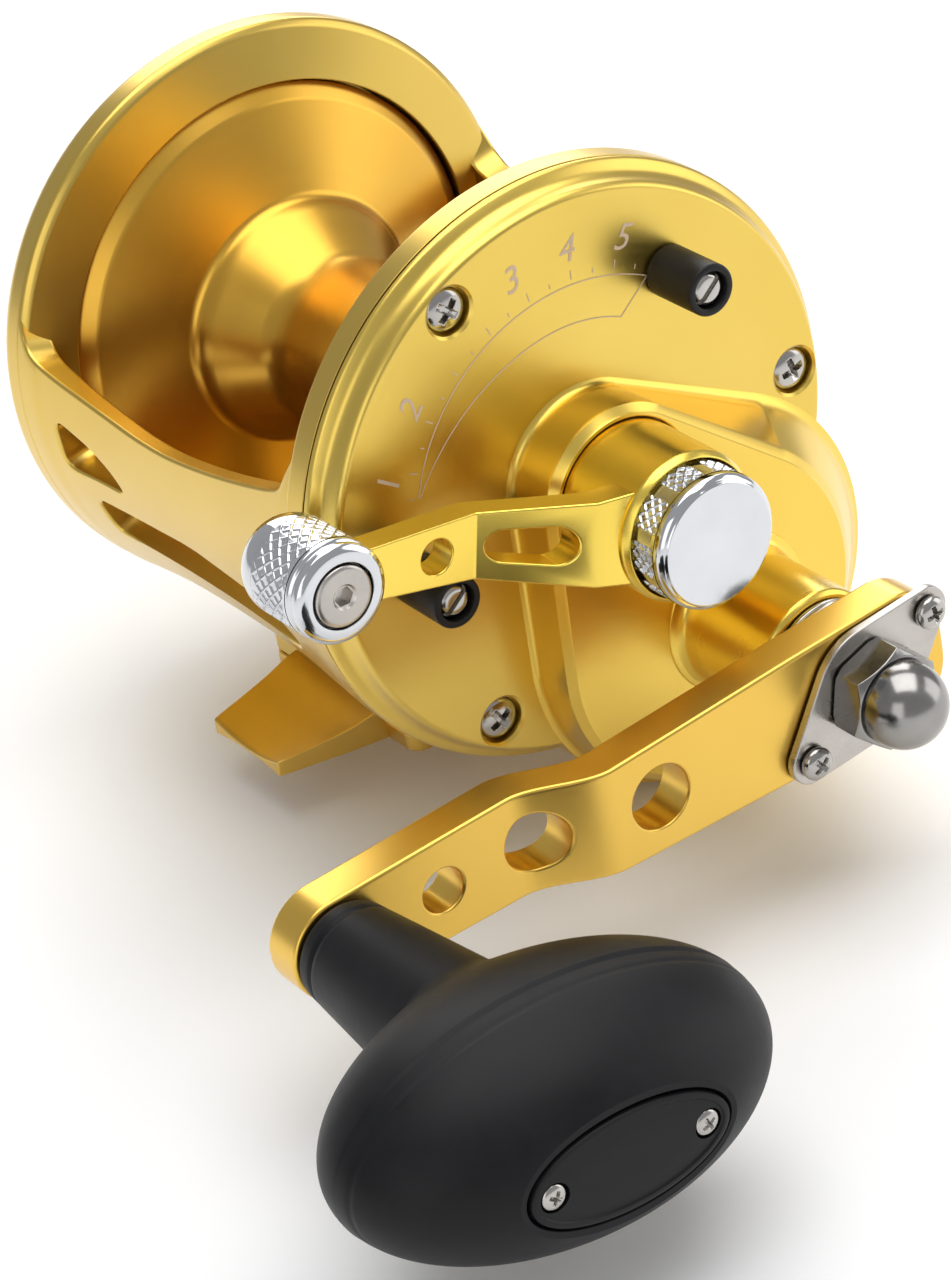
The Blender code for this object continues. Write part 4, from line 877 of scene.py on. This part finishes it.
# ---- foot
def blade(side):
    """A tapering blade that reaches out from the foot to one side, arched below and scooped above."""
    steps = 28
    half_table, rise_table, top_table = ([(row[0], row[column]) for row in BLADE_SECTIONS]
                                         for column in (1, 2, 3))
    sections = []
    for reach in spaced((BLADE_SECTIONS[0][0], BLADE_SECTIONS[-1][0]), 24):
        half, rise, top = (along(table, reach) for table in (half_table, rise_table, top_table))
        shares = spaced((-1.0, 1.0), steps)
        under = [(half * u, rise * (1.0 - u * u)) for u in shares]
        over = [(half * u, top - BLADE_SCOOP * (1.0 - abs(u) ** 2.2)) for u in shares[::-1]]
        sections.append([(x, side * reach, max(z, 0.0)) for x, z in under + over])
    return edged(skinned(sections), 0.3, 3, 50.0)


def build_foot():
    plate = edged(upright(rounded_rectangle(*FOOT_HALF, FOOT_CORNER_R), 0.0, FOOT_THICKNESS), 0.4)
    piece("rod_foot", together(plate, blade(-1.0), blade(1.0)), foot_gold, "reel_frame", ["reel_foot"])


# ---- spool
def build_spool():
    """Left flange and its dish, the boss, the arbor and the flange that holds the drag washer."""
    profile = softened([
        (-35.9, 6.0), (-35.9, 31.8, 0.3), (-35.3, FLANGE_R, 0.3), (-34.4, FLANGE_R, 0.2),
        (-32.7, 31.0, 0.35), (-27.3, 18.2, 1.0), (-25.3, 17.4, 2.2), (-17.8, 12.2, 1.5),
        (-14.8, ARBOR_R, 1.4), (13.0, ARBOR_R, 2.0), (16.2, 13.0, 2.2), (19.8, 18.4, 2.0),
        (25.0, 26.0, 3.0), (28.8, 31.6, 1.2), (30.6, FLANGE_R, 0.4), (33.5, FLANGE_R, 0.3), (33.5, 29.4),
        (29.2, 29.4), (29.2, 8.0), (25.0, 8.0), (25.0, 3.2), (-31.0, 3.2), (-31.0, 6.0)], 6)
    piece("spool_body", revolved(profile, ROUND + 48), spool_gold_painted_shade, "spool_assembly", ["spool"])


# ---- drag lever
def lever_face(reach):
    """Height of the lever's outer face at a distance from the spool axis."""
    near, far, rise = 13.4, 26.4, 8.4
    if reach <= near:
        return LEVER_FACE_X + rise + 0.8 * (near - reach) / (near - 7.5)
    if reach < far:
        return LEVER_FACE_X + rise * (far - reach) / (far - near)
    return LEVER_FACE_X + 0.4 * min((reach - far) / 17.5, 1.0)


def build_lever():
    """The lever's tapering arm with its window and hole, and the cupped hub behind the knob."""
    sections = []
    for reach, half in LEVER_SECTIONS:
        face = lever_face(reach)
        back = face - LEVER_THICKNESS
        corners = ((back, -half), (face, -half), (face, half), (back, half))
        sections.append([(x, reach, z) for x, z in corners])
    arm = turned(moved(skinned(sections), SPOOL_AXIS), LEVER_ANGLE)
    outline = circle((17.8, 0.0), 2.6, 18, 90.0, 180.0) + circle((23.2, 0.0), 2.2, 18, -90.0, 180.0)
    window = turned(moved(lofted([outline] * 2, (40.0, 70.0)), SPOOL_AXIS), LEVER_ANGLE)
    arm = cut(arm, window, cylinder(40.0, 60.0, 2.4, 40, on_plate(32.4, LEVER_ANGLE)))
    arm = edged(arm, 0.3, 3, 30.0)
    hub = soft_turned([
        (48.0, 8.7), (48.0, 10.4, 0.3), (62.5, 10.4, 0.3), (63.4, 9.8, 0.25), (63.4, 9.6, 0.1),
        (62.0, 9.5), (57.4, 5.4), (50.8, 3.2), (50.8, 8.7)], ROUND)
    # the lever's gold is brighter, a painted highlight
    piece("lever_body", together(arm, hub), lever_gold_painted_highlight, "lever_assembly", ["drag_lever"])


def knurled(outer_r, x_start, x_end, axis, pitch, starts, depth, bands=0, rows=96, columns=432):
    """A sleeve of crossing ridges with a pitch along X; bands smooth it at intervals around the axis."""
    bm = bmesh.new()
    rings = []
    for row in range(rows + 1):
        x = x_start + (x_end - x_start) * row / rows
        fade = min(1.0, 6.0 * min(row, rows - row) / rows)
        ring = []
        for column in range(columns):
            share = column / columns
            ridge = max(abs((x / pitch + turn * starts * share) % 1.0 - 0.5) * 2.0 for turn in (1.0, -1.0))
            height = max(0.0, (ridge - 0.68) / 0.32)
            plain = 0.0
            if bands:
                plain = max(0.0, min(1.0, (cos(2 * pi * bands * share) - 0.45) / 0.2))
            radius = outer_r - fade * (depth * (1.0 - height) * (1.0 - plain) + 0.18 * plain)
            ring.append(bm.verts.new((x, *on_plate(radius, 360.0 * share, axis)[1:])))
        rings.append(ring)
    grid_faces(bm, rings, True)
    return bm


def build_lever_grip():
    """The lever's chrome grip: a domed tail, a knurled sleeve, a ringed nose and a socket screw."""
    axis = on_plate(LEVER_TIP_R, LEVER_ANGLE)
    dome_length = 6.2
    front = LEVER_FACE_X + 3.6
    knurl_start, knurl_end = LEVER_GRIP_TAIL_X + dome_length + 0.4, front - 3.0
    dome = [(LEVER_GRIP_TAIL_X + dome_length * (1.0 - cos(radians(step))),
             LEVER_GRIP_R * sin(radians(step))) for step in range(0, 91, 5)]
    core = revolved(dome + [(knurl_start + 0.1, LEVER_GRIP_R), (knurl_start + 0.4, 5.0),
                            (knurl_end + 0.1, 5.0), (knurl_end + 0.1, 0.0)], ROUND, axis)
    nose = soft_turned([
        (knurl_end - 0.2, 0.0), (knurl_end - 0.2, 6.5), (knurl_end + 0.1, LEVER_GRIP_R, 0.2),
        (front - 2.4, LEVER_GRIP_R, 0.3), (front - 2.05, 6.35, 0.15), (front - 1.75, 6.35, 0.15),
        (front - 1.5, 6.7, 0.3), (front - 0.7, 6.7, 0.3), (front - 0.1, 5.9, 0.3), (front, 5.0, 0.2),
        (front, 4.5, 0.1), (front - 1.4, 4.4), (front - 1.4, 0.0)], ROUND, axis)
    piece("lever_grip_ends", together(core, nose), chrome, "lever_assembly", ["lever_grip"])
    sleeve = knurled(LEVER_GRIP_R, knurl_start, knurl_end, axis, 2.0, 22, 0.24)
    piece("lever_grip_knurl", sleeve, knurl_chrome, "lever_assembly", ["lever_grip"],
          60.0)
    head = soft_turned([
        (43.5, 0.0), (43.5, 1.5), (front - 1.35, 1.5), (front - 1.35, 4.15), (front + 0.1, 4.15, 0.25),
        (front + 0.35, 3.7, 0.25), (front + 0.35, 0.0)], FAIR, axis)
    socket = lofted([circle((axis[1], axis[2]), 1.4, 6)] * 2, (front - 1.1, front + 2.0))
    bore = revolved([(front + 0.05, 0.0), (front + 0.05, 1.45), (front + 0.6, 2.0), (front + 0.6, 0.0)],
                    TINY, axis)
    head = cut(head, socket, bore)
    piece("lever_grip_disc", head, brushed_steel, "lever_assembly", ["lever_grip_screw"])


def build_knob():
    """The preset knob: a polished face and a knurled rim with smooth bands."""
    face = soft_turned([
        (57.8, 0.0), (57.8, 5.0), (62.3, 5.0), (62.3, 9.0, 0.2), (62.7, 9.0, 0.1), (62.9, 8.7),
        (67.3, 8.7), (67.4, 9.25, 0.05), (68.5, 9.25, 0.3), (69.0, 8.8, 0.15), (69.15, 8.55, 0.1),
        (69.25, 8.45, 0.05), (KNOB_FACE_X, 8.3, 0.15), (KNOB_FACE_X, 0.0)], ROUND)
    piece("knob_core", face, chrome, "preset", ["preset_knob"])
    sleeve = knurled(KNOB_R, 62.6, 67.45, SPOOL_AXIS, 1.6, 36, 0.30, bands=9, rows=52, columns=576)
    piece("knob_knurl", sleeve, knurl_chrome, "preset", ["preset_knob"], 60.0)


# ---- handle
def arm_shift(reach):
    """How far the arm has stepped towards the reel at a distance along it."""
    start, end = ARM_BEND
    u = min(max((reach - start) / (end - start), 0.0), 1.0)
    return -ARM_STEP * u * u * (3.0 - 2.0 * u)


def arm_half(reach):
    """Half width of the arm at a distance along it."""
    if reach < ARM_BEND[0]:
        return 9.5 - 1.7 * max(reach, 0.0) / ARM_BEND[0]
    return 7.8 - 0.6 * min((reach - ARM_BEND[0]) / (ARM_LENGTH - ARM_BEND[0]), 1.0)


def arm_stations():
    """Distance along the arm and half width, from the rounded heel to the rounded tip."""
    stations = []
    for angle in range(0, 91, 9):
        stations.append((ARM_HEEL + ARM_HEEL_R * (1.0 - cos(radians(angle))),
                         arm_half(0.0) - ARM_HEEL_R * (1.0 - sin(radians(angle)))))
    bend = spaced((ARM_BEND[0] - 1.0, ARM_BEND[1] + 1.0), 44)
    stations += [(reach, arm_half(reach)) for reach in (10.0, 20.0, 30.0, 36.0, *bend, 60.0, 70.0)]
    for angle in range(0, 88, 6):
        y, z = polar(ARM_TIP_R, 90.0 - angle)
        stations.append((ARM_LENGTH + y, z))
    return stations


def arm_edge(inset):
    """Upper half of the arm's outline as (reach, half width), drawn in from the edge."""
    points = [Vector(point) for point in arm_stations()]
    chain = [Vector((points[0].x, -points[0].y)), *points, Vector((points[-1].x, -points[-1].y))]
    edge = []
    for before, here, after in zip(chain, chain[1:], chain[2:]):
        run = (after - before).normalized()
        edge.append((here.x + run.y * inset, here.y - run.x * inset))
    return edge


def on_arm(loop, depth):
    """A (reach, z) loop laid at a depth below the arm's stepped back."""
    return [(ARM_BACK_X + arm_shift(reach) + depth, reach, z) for reach, z in loop]


def arm_blank(rounding=0.55):
    """The stepped bar with every edge rounded."""
    depths = [(rounding * below, rounding * beside) for below, beside in QUARTER]
    depths += [(ARM_THICKNESS - below, beside) for below, beside in depths[::-1]]
    bm = bmesh.new()
    rings = []
    for depth, inset in depths:
        edge = arm_edge(inset)
        loop = edge + [(reach, -half) for reach, half in edge[::-1]]
        rings.append([bm.verts.new(point) for point in on_arm(loop, depth)])
    grid_faces(bm, rings, True)
    for ring in (rings[0], rings[-1]):
        for index in range(len(ring) // 2 - 1):
            bm.faces.new((ring[index], ring[index + 1], ring[-index - 2], ring[-index - 1]))
    return bm


def arm_hole(centre, radius, rounding=0.4, count=56):
    """A cutter that follows the stepped faces and rounds both rims."""
    rims = [(rounding * below, rounding * beside) for below, beside in QUARTER]
    rows = [(-2.0, rounding + 1.0), *rims]
    rows += [(ARM_THICKNESS - below, beside) for below, beside in rims[::-1]]
    rows.append((ARM_THICKNESS + 2.0, rounding + 1.0))
    return skinned([on_arm(circle((centre, 0.0), radius + grow, count), depth) for depth, grow in rows])


def build_arm():
    """The crank arm with its lightening holes, and the steel collar behind it."""
    arm = arm_blank()
    for centre, radius in (*ARM_HOLES, (0.0, SHAFT_HOLE_R), (ARM_LENGTH, SPINDLE_HOLE_R)):
        arm = cut(arm, arm_hole(centre, radius))
    arm = turned(moved(arm, HANDLE_AXIS), ARM_ANGLE, HANDLE_AXIS)
    piece("crank_arm", arm, arm_gold, "handle_assembly", ["handle_arm"])
    collar = soft_turned([
        (TOWER_X + GAP, SHAFT_HOLE_R), (TOWER_X + GAP, 8.7, 0.3), (68.7, 8.7, 0.15), (68.85, 8.45, 0.08),
        (69.0, 8.7, 0.15), (69.8, 8.7, 0.3), (69.8, SHAFT_HOLE_R)], FAIR, HANDLE_AXIS)
    piece("steel_collar", collar, polished_steel, "handle_assembly", ["arm_collar"])


def build_lock():
    """The lock plate, round in the middle and tapering to a screw at each end."""
    ends = (LOCK_ANGLE, LOCK_ANGLE + 180.0)
    screws = [on_plate(LOCK_PITCH_R, angle, HANDLE_AXIS) for angle in ends]
    spread = degrees(acos((LOCK_MIDDLE_R - LOCK_END_R) / LOCK_PITCH_R))
    outline = []
    for angle, screw in zip(ends, screws):
        outline += circle(screw[1:], LOCK_END_R, 16, angle - spread, 2 * spread)
        outline += circle(HANDLE_AXIS[1:], LOCK_MIDDLE_R, 14, angle + spread, 180.0 - 2 * spread)
    plate = lofted([outline] * 2, (LOCK_X, LOCK_X + LOCK_THICKNESS))
    plate = cut(plate, cylinder(70.0, 90.0, SHAFT_HOLE_R, FAIR, HANDLE_AXIS))
    piece("lock_tab", edged(plate, 0.22, 3), brushed_steel, "handle_assembly", ["lock_plate"])
    screw_set("lock_screw", "lock_plate_screw", "handle_assembly", screws, (10.0, 38.0),
              (LOCK_X + LOCK_THICKNESS + GAP, 2.3, 1.6))


def build_nut():
    """A chamfered hexagon with a domed cap."""
    hexagon = lofted([circle(HANDLE_AXIS[1:], NUT_R, 6, 20.0)] * 2, (NUT_X, NUT_X + 5.2))
    taper = revolved([
        (NUT_X - 1.0, 6.9), (NUT_X + 0.15, 6.9), (NUT_X + 0.6, 7.6), (NUT_X + 4.35, 7.6),
        (NUT_X + 5.25, 6.2), (NUT_X + 6.5, 6.2), (NUT_X + 6.5, 12.0), (NUT_X - 1.0, 12.0)],
        FAIR, HANDLE_AXIS)
    hexagon = edged(cut(hexagon, taper), 0.12, 2, 25.0)
    dome_x = NUT_X + 6.4
    dome = [(NUT_X + 5.0, 0.0), (NUT_X + 5.0, NUT_DOME_R - 0.35), (NUT_X + 5.35, NUT_DOME_R - 0.3),
            (NUT_X + 5.6, NUT_DOME_R)]
    dome += [(dome_x + NUT_DOME_R * sin(radians(step)), NUT_DOME_R * cos(radians(step)))
             for step in range(0, 90, 6)]
    dome.append((dome_x + NUT_DOME_R, 0.0))
    acorn = revolved(dome, FAIR, HANDLE_AXIS)
    piece("acorn_nut", together(hexagon, acorn), nut_steel_painted_reflection, "handle_assembly", ["cap_nut"])


# ---- grip
def grip_half_axes(x):
    """Half axes of the grip's section: a flaring stem that runs into an oval body."""
    stem = 7.0 + 0.105 * (min(x, GRIP_X) - GRIP_START_X)
    inside = 1.0 - ((x - GRIP_X) / GRIP_HALF[0]) ** 2
    if inside <= 0.0:
        return stem, stem
    swell = sqrt(inside)
    if x > GRIP_X:
        return GRIP_HALF[1] * swell, GRIP_HALF[2] * swell
    return tuple((stem ** 6 + (half * swell) ** 6) ** (1 / 6) for half in GRIP_HALF[1:])


def oval(half_y, half_z, count=96):
    """An oval about the grip's axis, tilted as the grip is."""
    tilt = radians(GRIP_TILT)
    points = []
    for index in range(count):
        angle = 2 * pi * index / count
        y, z = half_y * cos(angle), half_z * sin(angle)
        points.append((HANDLE_TIP[1] + y * cos(tilt) - z * sin(tilt),
                       HANDLE_TIP[2] + y * sin(tilt) + z * cos(tilt)))
    return points


def cap_oval(grow):
    """The end cap's outline grown by a distance."""
    return oval(CAP_HALF[0] + grow, CAP_HALF[1] + grow)


def build_grip():
    """The rubber grip with its moulding seams, and the end cap set into it with two screws."""
    stations = [GRIP_START_X + (GRIP_END_X - GRIP_START_X) * (1.0 - (1.0 - share) ** 1.35)
                for share in spaced((0.0, 1.0), 150)]
    seams = ((GRIP_START_X + 3.2, 0.28, 0.35), (GRIP_X + 2.5, 0.16, 0.30))
    outlines = []
    for x in stations:
        half_y, half_z = grip_half_axes(x)
        inset = 0.03 + max(0.0, 0.6 - (x - GRIP_START_X)) * 0.8
        for seam, depth, width in seams:
            inset += depth * max(0.0, 1.0 - ((x - seam) / width) ** 2)
        outlines.append(oval(half_y - inset, half_z - inset, 160))
    well_x = (GRIP_END_X - 1.7, GRIP_END_X - 0.3, GRIP_END_X + 0.5)
    well = lofted([cap_oval(grow) for grow in (0.2, 0.2, 0.9)], well_x)
    piece("grip_body", cut(lofted(outlines, stations), well), rubber, "grip_assembly", ["grip"],
          45.0)
    steps = ((-1.6, 0.0), (0.05, 0.0), (0.3, -0.15), (0.42, -0.5), (0.42, -0.9), (0.22, -1.1),
             (0.3, -2.5), (0.5, -5.0))
    cap = lofted([cap_oval(grow) for _, grow in steps], [GRIP_END_X + step for step, _ in steps])
    axes = [on_plate(CAP_SCREW_R, GRIP_TILT + turn, HANDLE_TIP) for turn in (0.0, 180.0)]
    for axis in axes:
        cap = cut(cap, cylinder(GRIP_END_X - 0.8, GRIP_END_X + 2.0, 1.95, TINY, axis))
    piece("cap_cover", cap, cap_plastic, "grip_assembly", ["grip_cap"])
    screw_set("cap_screw", "grip_cap_screw", "grip_assembly", axes, (25.0, 60.0),
              (GRIP_END_X - 0.4, 1.75, 1.05))


# ---- left side details
def build_left_details():
    """The slotted bearing cap and the click button."""
    cap = soft_turned([
        (LEFT_FACE_X - 1.2, 0.0), (LEFT_FACE_X - 1.2, 8.0), (LEFT_FACE_X - 3.0, 8.0, 0.3),
        (LEFT_FACE_X - 3.6, 7.2, 0.3), (LEFT_FACE_X - 3.6, 0.0)], ROUND)
    slot = box((LEFT_FACE_X - 4.6, -5.2, AXIS_Z - 0.8), (LEFT_FACE_X - 2.6, 5.2, AXIS_Z + 0.8))
    piece("bearing_cap", edged(cut(cap, slot), 0.15, 2), plate_gold, "reel_frame", ["left_bearing_cap"])
    axis = on_plate(CLICK_R, CLICK_ANGLE)
    button = soft_turned([
        (-47.2, 0.0), (-46.9, 1.8, 0.4), (-47.2, 3.0, 0.3), (-46.7, 3.6, 0.3), (-44.8, 3.6, 0.3),
        (-44.0, 3.2, 0.2), (-44.0, 1.7), (-38.4, 1.7), (-38.4, 0.0)], FAIR, axis)
    piece("click_knob", button, body_gold, "click_assembly", ["click_button"])


# ---- carried CAD pieces
CARRIED = {
    "stainless_steel": polished_steel, "gear_steel": gear_steel, "bronze": gear_bronze,
    "drag_carbon": carbon, "gold_anodised": body_gold, "chrome_plate": chrome,
    "black_rubber": rubber, "black_plastic": cap_plastic,
}


def dress_carried():
    """Better materials for the CAD nodes that stay."""
    for entry in frame["record"]["subparts"]:
        for slot in frame["nodes"][entry["node"]].material_slots:
            slot.material = CARRIED[entry["material_slot"]]


# ---- studio
def area_light(name, place, size, power):
    data = bpy.data.lights.new(name, "AREA")
    data.shape = "RECTANGLE"
    data.size, data.size_y = size
    data.energy = power
    item = bpy.data.objects.new(name, data)
    item.location = place
    item.rotation_euler = (Vector(LIT_POINT) - Vector(place)).to_track_quat("-Z", "Y").to_euler()
    bpy.context.collection.objects.link(item)


def build_floor():
    mesh = bpy.data.meshes.new("floor")
    corners = [(-FLOOR_HALF, -FLOOR_HALF), (FLOOR_HALF, -FLOOR_HALF), (FLOOR_HALF, FLOOR_HALF),
               (-FLOOR_HALF, FLOOR_HALF)]
    mesh.from_pydata([(x, y, FLOOR_LEVEL) for x, y in corners], [], [(0, 1, 2, 3)])
    ground = bpy.data.objects.new("floor", mesh)
    look = Nodes("studio_floor")
    look.set(Roughness=0.9, Specular_IOR_Level=0.1)
    clouds = look.noise(look.position(), 3.0)
    mesh.materials.append(look.finish(look.colours(clouds, (0.93, 0.93, 0.93), (0.95, 0.95, 0.95))))
    bpy.context.collection.objects.link(ground)


def build_camera():
    lens = bpy.data.cameras.new("camera")
    lens.lens = CAMERA_LENS
    lens.clip_start = 0.01
    camera = bpy.data.objects.new("camera", lens)
    rotation = Matrix((CAMERA_RIGHT, CAMERA_UP, CAMERA_BACK)).transposed().to_4x4()
    camera.matrix_world = Matrix.Translation(CAMERA_PLACE) @ rotation
    bpy.context.collection.objects.link(camera)
    bpy.context.scene.camera = camera


def build_studio():
    """A pale floor and soft light from four sides under an even sky."""
    bpy.context.scene.view_settings.view_transform = "Standard"
    world = bpy.data.worlds.new("studio")
    bpy.context.scene.world = world
    world.use_nodes = True
    backdrop = world.node_tree.nodes["Background"]
    backdrop.inputs["Color"].default_value = (0.93, 0.94, 0.96, 1.0)
    backdrop.inputs["Strength"].default_value = 0.46
    for light in LIGHTS:
        area_light(*light)
    build_floor()
    build_camera()


build_frame()
build_side_plate()
build_dial()
build_fasteners()
build_foot()
build_spool()
build_lever()
build_lever_grip()
build_knob()
build_arm()
build_lock()
build_nut()
build_grip()
build_left_details()
dress_carried()
build_studio()
